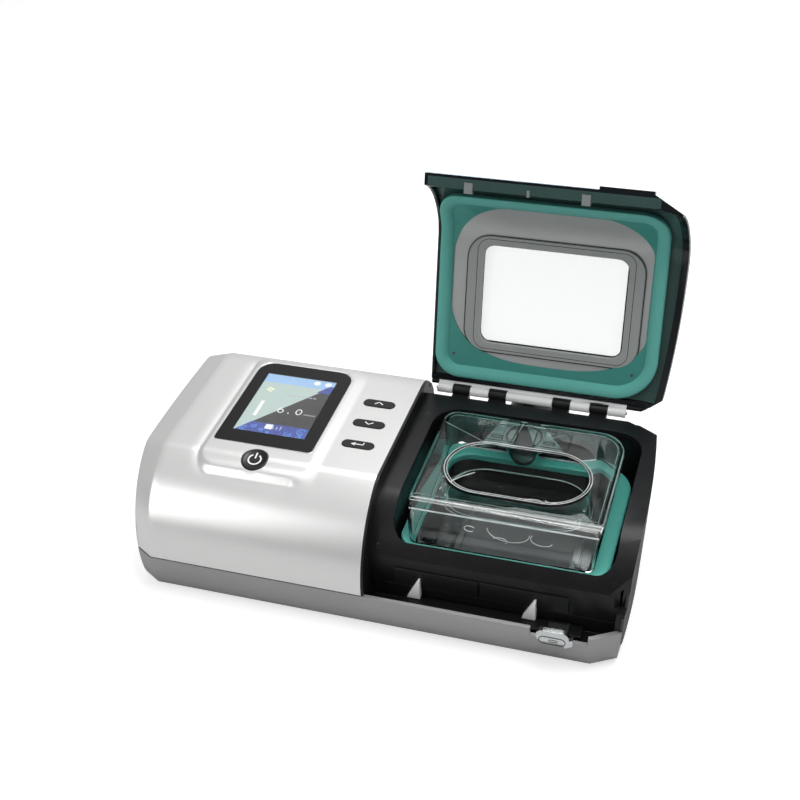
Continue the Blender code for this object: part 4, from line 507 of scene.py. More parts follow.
def barrel_y(inset, z):
    """How far forward the round front reaches at a height, drawn in by inset."""
    return FRONT_RADIUS - BODY_DEPTH / 2 - math.sqrt((FRONT_RADIUS - inset) ** 2 - (z - PARTING) ** 2)


def barrel_z(inset, y):
    """How high the barrel stands at a depth, lowered by inset: a round front and a flat top."""
    across = FRONT_RADIUS - BODY_DEPTH / 2 - y
    if across < (FRONT_RADIUS - inset) * math.sin(FOLD):
        return BODY_HEIGHT - inset
    return min(BODY_HEIGHT - inset, PARTING + math.sqrt(max(0.0, (FRONT_RADIUS - inset) ** 2 - across ** 2)))


# The open lid

def lid_turn():
    """The turn from the closed lid, in which its pieces are drawn, to the open lid in the photograph."""
    hinge = next(joint for joint in frame["joints"] if joint["name"] == "lid_hinge")
    pivot = Vector(hinge["pos_m"])
    turn = Matrix.Rotation(-math.radians(hinge["range_deg"][1]), 4, "X")
    return Matrix.Translation(pivot) @ turn @ Matrix.Translation(-pivot)


def closed_box(node):
    """Lowest and highest corners of a lid node with the lid closed."""
    back = lid_turn().inverted()
    points = [back @ vertex.co for vertex in frame["nodes"][node].data.vertices]
    return tuple(Vector([pick(point[i] for point in points) for i in range(3)]) for pick in (min, max))


def lid_piece(name, bm, finish):
    bm.transform(lid_turn())
    return piece(name, bm, finish, "lid")


# Settings

def colour(name, default, description):
    return FloatVectorProperty(
        name=name, description=description, subtype="COLOR", size=3, min=0, max=1, default=default
    )


def size(name, default, description):
    return FloatProperty(
        name=name, description=description, unit="LENGTH", subtype="DISTANCE", min=0, default=default
    )


class MachineColours(bpy.types.PropertyGroup):
    """Colours of the machine's finishes."""

    shell: colour("Shell", (0.78, 0.785, 0.775), "Pearl white of the upper shell")
    tray: colour("Tray", (0.36, 0.365, 0.36), "Satin silver of the lower tray")
    panel: colour("End panel", (0.045, 0.048, 0.052), "Dark grey of the inset end panels")
    deck: colour("Deck", (0.008, 0.008, 0.009), "Black of the humidifier housing")
    # The liner's green tint is a painted reflection of the teal seals on black gloss plastic.
    liner: colour("Lid liner", (0.040, 0.078, 0.072), "Smoked green of the lid's liner")
    seal: colour("Seals", (0.080, 0.42, 0.36), "Teal of the silicone seals")
    plate: colour("Inner plate", (0.46, 0.47, 0.47), "Grey of the lid's inner plate")
    window_frame: colour("Window frame", (0.38, 0.40, 0.395), "Grey of the raised frame round the window")
    web: colour("Gasket web", (0.045, 0.270, 0.230), "Dark teal of the thin web inside the lid's gasket")
    hook: colour("Hooks", (0.88, 0.88, 0.87), "White of the latch hooks")
    screen: colour("Screen", (0.015, 0.045, 0.32), "Deep blue of the lit screen")


class MachineSizes(bpy.types.PropertyGroup):
    """Sizes of the small trim."""

    edge: size("Edge radius", 0.0005, "Radius of the moulded edges")
    print_width: size("Print line", 0.0009, "Width of the white symbols on the keys")
    seal_front: size("Seal front band", 0.0034, "Width of the tank seal's band along its front")
    seal_side: size("Seal side band", 0.0088, "Width of the tank seal's band along its sides and back")
    glint: size("Glint", 0.00042, "Radius of the bright rounded edges of the clear mouldings")


class OBJECT_OT_machine_stage(bpy.types.Operator):
    """Adds the floor, the soft lights, the world and the camera"""

    bl_idname = "object.machine_stage"
    bl_label = "Stage, lights and camera"

    def execute(self, context):
        studio_floor(context.scene)
        studio_world(context.scene)
        for name, place, aim, wide, tall, power in STAGE_LIGHTS:
            light = bpy.data.lights.new(name, "AREA")
            light.shape = "RECTANGLE"
            light.size = wide
            light.size_y = tall
            light.energy = power
            lamp = bpy.data.objects.new(name, light)
            lamp.location = place
            lamp.rotation_euler = (Vector(aim) - Vector(place)).to_track_quat("-Z", "Y").to_euler()
            context.scene.collection.objects.link(lamp)
        add_camera(context.scene)
        return {"FINISHED"}


def studio_floor(scene):
    bm = bmesh.new()
    corners = ((-1, -1), (1, -1), (1, 1), (-1, 1))
    bm.faces.new([bm.verts.new((x * FLOOR_HALF, y * FLOOR_HALF, GROUND)) for x, y in corners])
    mesh = bpy.data.meshes.new("studio_floor")
    bm.to_mesh(mesh)
    bm.free()
    floor = bpy.data.objects.new("studio_floor", mesh)
    scene.collection.objects.link(floor)
    made, tree, surface = blank("studio_paper")
    sight = linked(tree, "ShaderNodeLightPath").outputs
    glow = maths(tree, "MULTIPLY", sight["Is Camera Ray"], PAPER_GLOW)
    put(surface, Base_Color=(PAPER, PAPER, PAPER, 1.0), Roughness=0.9, Specular_IOR_Level=0.0)
    put(surface, Emission_Color=WHITE, Emission_Strength=glow)
    mesh.materials.append(made)


def studio_world(scene):
    """White to the camera and through glass, dimmer as light, darker where the room's front is mirrored."""
    world = bpy.data.worlds.new("studio_world")
    world.use_nodes = True
    tree = world.node_tree
    sight = linked(tree, "ShaderNodeLightPath").outputs
    way = linked(tree, "ShaderNodeTexCoord").outputs["Generated"]
    sides = linked(tree, "ShaderNodeSeparateXYZ", [("Vector", way)]).outputs
    walls = []
    for axis, near, far, dark, pale in WALLS:
        walls.append(ramp(tree, sides[axis], dark, pale, near, far, "SMOOTHSTEP"))
    seen = maths(tree, "MAXIMUM", sight["Is Camera Ray"], sight["Is Transmission Ray"])
    mirrored = maths(tree, "MULTIPLY", maths(tree, "MULTIPLY", *walls), sight["Is Glossy Ray"])
    shown = maths(tree, "MAXIMUM", seen, mirrored)
    direct = maths(tree, "MAXIMUM", seen, sight["Is Glossy Ray"])
    soft = maths(tree, "MULTIPLY", maths(tree, "SUBTRACT", 1.0, direct), ROOM_LIGHT)
    put(tree.nodes["Background"], Color=WHITE, Strength=maths(tree, "ADD", shown, soft))
    scene.world = world


def add_camera(scene):
    data = bpy.data.cameras.new("photo_camera")
    data.lens = CAMERA_LENS
    data.sensor_width = SENSOR
    data.clip_start = 0.01
    camera = bpy.data.objects.new("photo_camera", data)
    azimuth = CAMERA_AZIMUTH
    elevation = CAMERA_ELEVATION
    back = Vector((
        math.sin(azimuth) * math.cos(elevation), -math.cos(azimuth) * math.cos(elevation), math.sin(elevation)
    ))
    level = Vector((math.cos(azimuth), math.sin(azimuth), 0.0))
    upright = back.cross(level)
    right = math.cos(CAMERA_ROLL) * level + math.sin(CAMERA_ROLL) * upright
    up = math.cos(CAMERA_ROLL) * upright - math.sin(CAMERA_ROLL) * level
    place = back * CAMERA_DISTANCE + right * CAMERA_SIDE + up * CAMERA_RISE
    place.z += GROUND
    turn = Matrix((right, up, back)).transposed().to_4x4()
    camera.matrix_world = Matrix.Translation(place) @ turn
    scene.collection.objects.link(camera)
    scene.camera = camera
    scene.view_settings.view_transform = "Standard"


# Body

class OBJECT_OT_machine_body(bpy.types.Operator):
    """Finishes the tray, the upper shell, the end panels and the feet"""

    bl_idname = "object.machine_body"
    bl_label = "Tray and shell"

    def execute(self, context):
        tone = context.scene.machine_colours
        edge = context.scene.machine_sizes.edge
        pearl = moulded("pearl_shell", tone.shell, 0.31, metallic=0.55, mottle=0.012, grain_height=0.0000002,
                        wear=0.015)
        silver = moulded("silver_tray", tone.tray, 0.36, metallic=0.60, mottle=0.02, grain_height=0.000004,
                         wear=0.04)
        panel = moulded("end_panel_grey", tone.panel, 0.5, mottle=0.08, grain_height=0.00003, specular=0.3)
        rubber = moulded("rubber_foot", (0.02, 0.02, 0.02), 0.8)
        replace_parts(upper_shell(pearl), "top_shell")
        parting_gap()
        dress("base_tray", silver, edge)
        dress("end_panel_left", panel, edge)
        dress("end_panel_right", panel, edge)
        for place in ("front_left", "front_right", "back_right", "back_left"):
            dress(f"foot_{place}", rubber, edge)
        return {"FINISHED"}


def body_profile(side, top, low):
    """Front foot, round front, flat top, round rear edge and back foot of the body's cross section."""
    middle = FRONT_RADIUS - BODY_DEPTH / 2
    start = math.pi / 2 - math.asin((low - PARTING) / (FRONT_RADIUS - top))
    points = []
    for i in range(33):
        turn = start + (FOLD + FOLD_LEAD - start) * i / 32
        y = middle - (FRONT_RADIUS - side) * math.sin(turn)
        points.append((y, PARTING + (FRONT_RADIUS - top) * math.cos(turn)))
    fold, front = points[-1]
    for i in range(1, 7):
        rise = (BODY_HEIGHT - top - front) * (1 - (1 - i / 6) ** 2)
        points.append((fold + FOLD_SOFT * i / 6, front + rise))
    back = BODY_DEPTH / 2 - REAR_RADIUS
    flat = points[-1][0]
    points += [(flat + (back - flat) * i / 44, BODY_HEIGHT - top) for i in range(1, 45)]
    for i in range(1, 17):
        turn = math.pi / 2 * (1 - i / 16)
        z = BODY_HEIGHT - REAR_RADIUS + (REAR_RADIUS - top) * math.sin(turn)
        points.append((back + (REAR_RADIUS - side) * math.cos(turn), z))
    points.append((BODY_DEPTH / 2 - side, low))
    return points


def end_face(y):
    """How far out the body's bulged end reaches at a depth."""
    return HALF_LENGTH + END_BULGE * (1 - (y / END_REACH) ** 2)


def platform_share(x, y):
    """How much of the platform's rise shows at a place seen from above: a rolled edge, then a soft hollow."""
    left, right, front, back = PLATFORM
    dx = abs(x - (left + right) / 2) - (right - left) / 2 + PLATFORM_RADIUS
    dy = abs(y - (front + back) / 2) - (back - front) / 2 + PLATFORM_RADIUS
    away = math.hypot(max(dx, 0), max(dy, 0)) + min(max(dx, dy), 0) - PLATFORM_RADIUS
    soft = min(1.0, max(0.0, (x - right + 0.010) / 0.012, (y - back + 0.010) / 0.012))
    share = min(1.0, max(0.0, (away + 0.0026) / (0.0034 + 0.0050 * soft)))
    hollow = min(1.0, max(0.0, (away - 0.0008) / 0.0080))
    return 1 - share * share * (3 - 2 * share), (1 - hollow) ** 3 * (1 - soft) if away > -0.0010 else 0.0


def platform_height(y):
    """Level of the platform: flat round the display, then bent down towards its front edge."""
    down = max(0.0, BEND_Y + BEND_SOFT - y)
    return PLATFORM_TOP - math.tan(KEY_TILT) * (down - BEND_SOFT * (1 - math.exp(-down / BEND_SOFT)))


def raised(x, y, z):
    """Height of the shell with the platform and the hollow round it."""
    left, right, front, back = PLATFORM
    if not (left - 0.012 < x < right + 0.012 and front - 0.012 < y < back + 0.010):
        return z
    share, hollow = platform_share(x, y)
    height = max(platform_height(y), z + 0.0007)
    if y > BODY_DEPTH / 2 - REAR_RADIUS:
        height = z + PLATFORM_TOP - BODY_HEIGHT
    return z + (height - z) * share - HOLLOW * hollow * (1 - share)


def spread(*parts):
    """Places along a line: each part is an end place and the step that leads up to it."""
    places = [parts[0]]
    for end, step in parts[1:]:
        start = places[-1]
        count = max(1, round(abs(end - start) / step))
        places += [start + (end - start) * i / count for i in range(1, count + 1)]
    return places


def facet_point(inset, share, low, place):
    """One point of the profile, drawn in along the end's facet."""
    return body_profile(inset + share * FACET_DEPTH, inset + share * FACET_DROP, low)[place]


def shell_solid(name, inset, start, low, end_inset, with_platform):
    """Closed solid of the blower half, from the seam to its faceted and bulged end."""
    profile = body_profile(inset, inset, low)
    loops = []
    for x in spread(start, *SHELL_STOPS):
        loops.append([(x, y, raised(x, y, z) if with_platform else z) for y, z in profile])
    for i in range(1, FACET_STEPS + 1):
        loop = []
        for k in range(len(profile)):
            share = 1.0
            for _ in range(5):
                end = end_face(facet_point(inset, share, low, k)[0]) - end_inset
                share = (end - FACET_START) / FACET_LENGTH
            share *= i / FACET_STEPS
            loop.append((-FACET_START - share * FACET_LENGTH, *facet_point(inset, share, low, k)))
        loops.append(loop)
    rim = loops[-1]
    middle = (sum(point[2] for point in rim) / len(rim) + low) / 2
    for scale in END_RINGS:
        loop = []
        for _, y, z in rim:
            lift = (middle - low) * (1 - scale) if z > low else 0.0
            loop.append((end_inset - end_face(y * scale), y * scale, low + (z - low) * scale + lift))
        loops.append(loop)
    bm = bmesh.new()
    rings(bm, loops)
    bmesh.ops.recalc_face_normals(bm, faces=bm.faces)
    return scratch(name, bm)


def scratch(name, bm):
    mesh = bpy.data.meshes.new(name)
    bm.to_mesh(mesh)
    bm.free()
    thing = bpy.data.objects.new(name, mesh)
    bpy.context.scene.collection.objects.link(thing)
    return thing


def carve(thing, cutters):
    """Cuts the cutters out of a solid, and gives the mesh that is left as a bmesh."""
    for cutter in cutters:
        change = thing.modifiers.new(cutter.name, "BOOLEAN")
        change.operation = "DIFFERENCE"
        change.solver = "MANIFOLD"
        change.object = cutter
    bpy.context.view_layer.update()
    bm = bmesh.new()
    bm.from_object(thing, bpy.context.evaluated_depsgraph_get())
    for used in [thing, *cutters]:
        bpy.data.objects.remove(used, do_unlink=True)
    bmesh.ops.remove_doubles(bm, verts=bm.verts, dist=WELD)
    return bm


def cutter(name, outline, low, high):
    bm = bmesh.new()
    plate(bm, outline, low, high)
    bmesh.ops.recalc_face_normals(bm, faces=bm.faces)
    return scratch(name, bm)


def grown_copy(node, amount):
    """A copy of a CAD node grown from its middle by an amount on each side, to cut the pocket that the node
    sits in.
    """
    bm = bmesh.new()
    bm.from_mesh(frame["nodes"][node].data)
    bmesh.ops.remove_doubles(bm, verts=bm.verts, dist=WELD)
    low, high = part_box(node)
    middle = (low + high) / 2
    for vertex in bm.verts:
        for axis in range(3):
            half = (high[axis] - low[axis]) / 2
            vertex.co[axis] = middle[axis] + (vertex.co[axis] - middle[axis]) * (half + amount) / half
    return scratch(node + "_room", bm)


def upper_shell(finish):
    """The pearl shell: rolled platform, hollow round it, faceted end, and its openings."""
    shell = shell_solid("shell_outside", 0.0, SHELL_SEAM, SHELL_LOW, 0.0, True)
    cutters = [shell_solid("shell_inside", WALL, 0.004, SHELL_LOW - 0.003, END_WALL, False)]
    low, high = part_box("display_glass")
    for name, grow, radii, steps, floor in (("glass_pocket", GAP, GLASS_RADII, 8, low.z - GAP),
                                            ("glass_window", -LEDGE, WINDOW_RADII, 6, 0.070)):
        outline = rounded(low.x - grow, high.x + grow, low.y - grow, high.y + grow, radii, steps)
        cutters.append(cutter(name, outline, floor, 0.1))
    for name in ("up_button", "down_button", "enter_button"):
        cutters.append(cutter(name + "_hole", stadium(*middle_of(name), *KEY_HOLE, 10), 0.070, 0.1))
    power = arc(*middle_of("power_button"), POWER_HOLE, 0, 352.5, 47)
    cutters.append(cutter("power_hole", power, 0.065, 0.1))
    cutters += [grown_copy(node, GAP) for node in ("end_panel_left", "filter_cover", "power_socket")]
    bm = carve(shell, cutters)
    thing = piece("upper_shell", bm, finish, "base")
    edge = thing.modifiers.new("smooth", "WEIGHTED_NORMAL")
    edge.keep_sharp = True
    return thing


def parting_gap():
    """Dark lip in the gap between the upper shell and the tray: a black strip that paints the shade in the
    parting line.
    """
    half = BODY_DEPTH / 2 - LIP_WIDTH
    corner = FACET_DEPTH * 1.15
    turn = -FACET_START - GAP
    outline = [(-0.0006, -half), (turn, -half)]
    for i in range(9):
        y = (half - corner) * (-1 + 2 * i / 8)
        outline.append((0.0013 - end_face(y), y))
    outline += [(turn, half), (-0.0006, half)]
    bm = bmesh.new()
    stroke(bm, outline, LIP_WIDTH, PARTING + 0.0001, PARTING + 0.0016)
    # Black strip: painted shade in the gap.
    dark = moulded("gap_shade_black", (0.006, 0.006, 0.006), 0.7, specular=0.1)
    piece("parting_shade_lip", bm, dark, "base")


# Display and keys

class OBJECT_OT_machine_display(bpy.types.Operator):
    """Finishes the display and the keys, with the screen's picture and the white symbols"""

    bl_idname = "object.machine_display"
    bl_label = "Display and keys"

    def execute(self, context):
        tone = context.scene.machine_colours
        line = context.scene.machine_sizes.print_width
        low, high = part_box("display_glass")
        screen_low = (low.x + SCREEN_LEFT, low.y + SCREEN_FRONT)
        screen_high = (high.x - SCREEN_RIGHT, high.y - SCREEN_BACK)
        dress("display_glass", bezel_glass("display_glass", screen_low, screen_high), 0.0004, 3)
        dress("lcd_module", lit("lcd_screen", (0.004, 0.004, 0.006), 0.6), 0.0)
        screen_picture(tone, screen_low, screen_high)
        bezel_line(low, high)
        key = moulded("key_black", (0.010, 0.010, 0.011), 0.30, coat=0.2, specular=0.3)
        ink = moulded("white_print", (0.86, 0.86, 0.86), 0.5)
        for name in ("up_button", "down_button", "enter_button"):
            dress(name, key, 0.0005, 3)
        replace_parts(power_key(key), "power_button")
        key_symbols(ink, line)
        return {"FINISHED"}


def screen_sheet(name, tint, strength, layer, outlines=(), lines=()):
    """One thin printed layer of the lit picture."""
    _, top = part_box("lcd_module")
    floor = top.z + (layer + 1) * LIFT / 2
    bm = bmesh.new()
    for outline in outlines:
        plate(bm, outline, floor, floor + LIFT / 3)
    for path, width, closed in lines:
        stroke(bm, path, width, floor, floor + LIFT / 3, closed)
    piece(name, bm, lit(name + "_glow", tint, strength), "base")


def screen_picture(tone, low, high):
    """The lit picture under the glass: header, pale glare painted as a glowing layer for the reflection on
    the glass, level bar, reading, blue foot with swirls.
    """
    def at(across, along):
        return low[0] + across * (high[0] - low[0]), low[1] + along * (high[1] - low[1])

    def shape(*corners):
        return [at(*corner) for corner in corners]

    def bar(left, front, right, back):
        return shape((left, front), (right, front), (right, back), (left, back))

    # Pale glowing triangle: a painted reflection on the glass, laid under it as part of the picture.
    screen_sheet("painted_screen_glare", (0.52, 0.66, 0.62), 0.95, 1, [shape((0.0, 0.0), (0.93, 0.88), (0.0, 0.88))])
    screen_sheet("screen_header", (0.36, 0.60, 0.93), 0.95, 2, [bar(0.0, 0.86, 1.0, 1.0)])
    corner = shape((0.80, 0.79), (1.0, 0.79), (1.0, 0.92), (0.93, 0.92))
    screen_sheet("screen_shade", (0.02, 0.06, 0.42), 0.8, 3, [corner])
    foot = shape((0.0, 0.0), (1.0, 0.0), (1.0, 0.175), (0.18, 0.175))
    screen_sheet("screen_foot", tone.screen, 1.1, 3, [foot])
    swirls = []
    for across, along, radius, start in SWIRLS:
        place = at(across, along)
        swirls.append((arc(*place, radius, start, start + 290, 14), 0.0006, False))
        swirls.append((arc(*place, radius * 0.4, start + 90, start + 330, 8), 0.0005, False))
    screen_sheet("screen_swirls", (0.10, 0.34, 0.95), 0.9, 4, (), swirls)
    border = bar(0, 0, 1, 1)
    screen_sheet("screen_border", (0.55, 0.60, 0.68), 0.8, 5, (), [(border, SCREEN_LINE, True)])
    icons = [arc(*at(across, 0.945), 0.0022, 0, 330, 11) for across in (0.74, 0.90)]
    screen_sheet("screen_icons", (0.93, 0.96, 1.0), 1.0, 5, icons)
    petals = [arc(x, y, 0.0011, 0, 330, 8) for x, y in arc(*at(0.16, 0.735), 0.0016, 20, 290, 3)]
    screen_sheet("screen_blossom", (0.93, 0.93, 0.62), 1.0, 4, petals)
    screen_sheet("screen_level", (0.95, 0.97, 0.97), 1.0, 4, [bar(0.135, 0.27, 0.185, 0.53)])
    x, y = at(0.47, 0.42)
    digits = [(arc(x, y - 0.0010, 0.0017, 0, 345, 14), 0.0007, True)]
    digits.append((arc(x + 0.0006, y, 0.0023, 100, 200, 8), 0.0007, False))
    x, y = at(0.72, 0.425)
    oval = [(x + 0.0017 * across, y + 0.0026 * along) for across, along in arc(0.0, 0.0, 1.0, 0, 336, 14)]
    digits.append((oval, 0.0007, True))
    screen_sheet("screen_reading", (0.96, 0.97, 1.0), 1.0, 5, [bar(0.575, 0.375, 0.595, 0.392)], digits)
    small = [bar(0.42 + 0.055 * k, 0.672, 0.455 + 0.055 * k, 0.690) for k in range(8)]
    small += [bar(0.80 + 0.035 * k, 0.385, 0.82 + 0.035 * k, 0.405) for k in range(5)]
    small += [bar(0.40 + 0.05 * k, 0.095, 0.418 + 0.05 * k, 0.105 + 0.012 * k) for k in range(5)]
    screen_sheet("screen_marks", (0.60, 0.64, 0.70), 0.8, 5, small)
    x, y = at(0.445, 0.125)
    tile = rounded(x - 0.0024, x + 0.0024, y - 0.0024, y + 0.0024, (0.0008,) * 4, 3)
    screen_sheet("screen_tile", (0.97, 0.98, 1.0), 1.0, 5, [tile])


def bezel_line(low, high):
    """The thin bright lip that frames the black glass."""
    outline = rounded(low.x, high.x, low.y, high.y, (0.0026, 0.0026, 0.0105, 0.0105), 8)
    lip = moulded("bezel_lip", (0.80, 0.81, 0.82), 0.2, metallic=0.4, grain_height=0.000001)
    path = level(inset_loop(outline, -0.00042), high.z - 0.00005)
    rods("bezel_lip", [(path, 0.00032, True)], lip, "base")


def power_place():
    """Turns a drawing on the level ground into one on the power key's tilted face."""
    x, y = middle_of("power_button")
    return Matrix.Translation((x, y, platform_height(y) + 0.00055)) @ Matrix.Rotation(KEY_TILT, 4, "X")


def power_key(finish):
    """Round key whose dished face is tilted with the platform."""
    place = power_place()
    loops = []
    for radius, rise in ((KEY_RINGS[0][0], 0.0), *KEY_RINGS):
        loops.append([place @ Vector(point) for point in level(arc(0, 0, radius, 0, 352.5, 47), rise)])
    low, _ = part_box("power_button")
    for point in loops[0]:
        point.z = low.z
    bm = bmesh.new()
    rings(bm, loops)
    return piece("power_key", bm, finish, "power_button")


def key_symbols(ink, line):
    """White marks on the keys: a broken ring, two arrow heads and a bent arrow."""
    bm = bmesh.new()
    radius = 0.0038
    stroke(bm, arc(0, -0.0003, radius, 122, 418, 26), line, LIFT - 0.0002, THIN)
    stroke(bm, [(0, radius * 0.15), (0, radius * 1.30)], line, LIFT - 0.0002, THIN)
    bm.transform(power_place())
    piece("power_symbol", bm, ink, "power_button")
    for name, way in (("up_button", 0.0010), ("down_button", -0.0010), ("enter_button", 0.0)):
        _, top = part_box(name)
        x, y = middle_of(name)
        path = [(x - 0.0026, y - way), (x, y + way), (x + 0.0026, y - way)]
        bm = bmesh.new()
        if not way:
            y -= 0.0003
            path = [(x + 0.0034, y + 0.0021), (x + 0.0034, y), (x - 0.0022, y)]
        stroke(bm, path, line * 0.85, top.z + LIFT, top.z + THIN)
        if not way:
            head = [(x - 0.0044, y), (x - 0.0016, y + 0.0015), (x - 0.0016, y - 0.0015)]
            plate(bm, head, top.z + LIFT, top.z + THIN)
        piece(name.replace("button", "arrow"), bm, ink, name)


# Housing, hinge and latch

class OBJECT_OT_machine_housing(bpy.types.Operator):
    """Finishes the humidifier housing, its bay, the hinge and the latch"""

    bl_idname = "object.machine_housing"
    bl_label = "Housing and latch"

    def execute(self, context):
        tone = context.scene.machine_colours
        edge = context.scene.machine_sizes.edge
        deck = moulded("black_deck", tone.deck, 0.34, mottle=0.2, wear=0.10, specular=0.28)
        white = moulded("white_hook", tone.hook, 0.4)
        chrome = moulded("chrome", (0.66, 0.69, 0.69), 0.16, metallic=1.0, mottle=0.02, wear=0.05)
        steel = moulded("steel", (0.55, 0.55, 0.56), 0.25, metallic=1.0)
        metal = moulded("aluminium_plate", (0.10, 0.105, 0.105), 0.35, metallic=0.6)
        duct = moulded("duct_grey", (0.16, 0.165, 0.17), 0.5)
        board = moulded("circuit_board", (0.02, 0.16, 0.07), 0.45)
        fan = moulded("impeller_white", (0.72, 0.73, 0.73), 0.4)
        foam = moulded("filter_foam", (0.5, 0.51, 0.5), 0.95, grain_scale=1500, grain_height=0.0002)
        for finish, width, names in (
            (deck, edge, "humidifier_housing bay_tub latch_guide latch_bar air_outlet"),
            (deck, edge, "filter_cover filter_tray power_socket"),
            (white, 0.0003, "hook_left hook_right"),
            (metal, 0.0002, "heater_plate tank_base_plate"),
            (duct, 0.0, "heating_element blower_housing air_duct"),
            (steel, 0.0, "hinge_pin blower_motor"),
            (fan, 0.0, "impeller"),
            (foam, 0.0, "air_filter"),
            (board, 0.0, "main_board control_board"),
        ):
            for name in names.split():
                dress(name, finish, width)
        dress("latch_knob", chrome, 0.0011, 4)
        knob_detail()
        deck_screws()
        recess_detail(deck)
        return {"FINISHED"}


def knob_detail():
    """The line round the knob's dished face and the small mark in its middle."""
    low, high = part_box("latch_knob")
    x = low.x + 0.0095
    z = high.z - 0.0070
    paths = []
    for outline, radius in ((stadium(x, z, 0.0150, 0.0052, 8), 0.00028),
                            (stadium(x + 0.0006, z, 0.0050, 0.0014, 5), 0.00020)):
        paths.append(([(across, low.y - 0.00005, up) for across, up in outline], radius, True))
    line = moulded("knob_line", (0.10, 0.10, 0.12), 0.3, metallic=0.8)
    rods("knob_line", paths, line, "latch")


def deck_screws():
    """Small flush screws near the deck's corners, each laid on the housing."""
    dark = moulded("screw_black", (0.035, 0.035, 0.04), 0.25, metallic=0.7, specular=0.5)
    deck = frame["nodes"]["humidifier_housing"]
    bm = bmesh.new()
    for x, y in SCREWS:
        found, place, upright, _ = deck.ray_cast(Vector((x, y, 0.2)), Vector((0, 0, -1)))
        if not found:
            raise RuntimeError("no deck under a screw")
        turn = Matrix.Translation(place) @ upright.to_track_quat("Z", "Y").to_matrix().to_4x4()
        for radius, low, rise in ((0.0021, -0.0003, 0.00004), (0.0014, 0.0, 0.00010)):
            loops = []
            for height, share in ((low, 1.0), (rise * 0.7, 1.0), (rise, 0.86)):
                ring = level(arc(0.0, 0.0, radius * share, 0, 337.5, 15), height)
                loops.append([turn @ Vector(point) for point in ring])
            rings(bm, loops)
    piece("deck_screws", bm, dark, "base")


def recess_detail(deck):
    """The raised pads on the wall behind the hooks, with the upright seam between them."""
    _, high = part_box("latch_guide")
    wall = high.y - 0.0020
    bm = bmesh.new()
    for left, right in ((0.0155, 0.0662), (0.0670, 0.1190)):
        outline = rounded(left, right, 0.0252, 0.0372, (0.0006, 0.0006, 0.0012, 0.0012), 3)
        layers = ((outline, -0.0001), (outline, 0.0007), (inset_loop(outline, 0.0003), 0.0010))
        rings(bm, [[(x, wall - proud, z) for x, z in shape] for shape, proud in layers])
    piece("recess_pads", bm, deck, "base")


# Water tank

class OBJECT_OT_machine_tank(bpy.types.Operator):
    """Finishes the clear tank cover, builds its seal and finishes the rest of the tank"""

    bl_idname = "object.machine_tank"
    bl_label = "Water tank"

    def execute(self, context):
        tone = context.scene.machine_colours
        sizes = context.scene.machine_sizes
        plastic = clear("clear_plastic", (0.95, 0.985, 0.98))
        dress("tank_lower", plastic, 0.0005, 3)
        dress("tank_baffle", clear("smoked_clear", (0.55, 0.60, 0.60), roughness=0.12), 0.0002)
        dress("tank_cover", plastic, 0.0004, 3)
        teal = silicone("teal_silicone", tone.seal)
        tank_seal(teal, sizes)
        tank_glints(sizes.glint)
        roof_detail(sizes.glint)
        return {"FINISHED"}


def tank_seal(teal, sizes):
    """Crowned silicone seal, narrow along its front and wide along its sides and back."""
    low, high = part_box("tank_seal")
    outer = rounded(low.x, high.x, low.y, high.y, (0.012, 0.012, 0.022, 0.022), 10)
    side = sizes.seal_side
    inner = rounded(
        low.x + side, high.x - side - 0.0012, low.y + sizes.seal_front, high.y - side,
        (0.0050, 0.0050, 0.015, 0.015), 10,
    )
    loops = []
    profile = [(0.0, 0.0), (0.0, 0.62), (0.025, 0.86), (0.08, 0.97), (0.18, 1.0), (0.5, 1.0), (0.82, 1.0),
               (0.92, 0.97), (0.975, 0.86), (1.0, 0.62), (1.0, 0.0)]
    tall = high.z - low.z
    for across, rise in profile:
        loop = []
        for (ox, oy), (ix, iy) in zip(outer, inner):
            loop.append((ox + (ix - ox) * across, oy + (iy - oy) * across, low.z + tall * rise))
        loops.append(loop)
    bm = bmesh.new()
    rings(bm, loops, closed=True)
    seal = piece("seal_ring", bm, teal, "tank")
    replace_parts(seal, "tank_seal")


def tank_glints(radius):
    """Painted highlights on the edges of the clear cover: its roof, the double fold, the filler's rim and the
    skirt below it.
    """
    low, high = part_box("tank_cover")
    top = high.z - 0.0004
    fold = TANK_FOLD
    # White and teal tinted rods: painted highlights.
    white = glint_finish("edge_glint", (0.95, 0.97, 0.97), 0.85)
    teal = glint_finish("teal_glint", (0.60, 0.82, 0.79), 0.55)
    roof = rounded(low.x + 0.0012, high.x - 0.0012, fold, high.y - 0.0012, (0.004, 0.004, 0.017, 0.008), 8)
    roof = [point for point in roof if point[1] > fold + 0.0001]
    inner = inset_loop(roof + [(low.x + 0.02, fold)], 0.0030)[:-1]
    roofs = [(level(roof, top - 0.0006), radius * 0.8), (level(inner, top - 0.0004), radius * 0.5)]
    folds = []
    for y, drop, thick in ((fold, 0.0004, 0.9), (fold - 0.0018, 0.0012, 0.6), (fold - 0.0052, 0.0046, 1.1)):
        side = 0.0016 + drop * 0.16
        folds.append((level([(low.x + side, y), (high.x - side, y)], top - drop), radius * thick))
    filler = stadium(*FILLER, 16)
    rims = [(level(filler, high.z - 0.0001), radius * 0.65, True)]
    rims.append((level(inset_loop(filler, 0.0016), high.z - 0.0003), radius * 0.45, True))
    skirts = [(level(stadium(*SKIRT, 16), high.z - SKIRT_DROP), radius * 0.7, True)]
    for name, paths, finish in (("roof_glint", roofs, teal), ("fold_glint", folds, white),
                                ("filler_glint", rims, white), ("skirt_glint", skirts, teal)):
        rods(name, paths, finish, "tank")


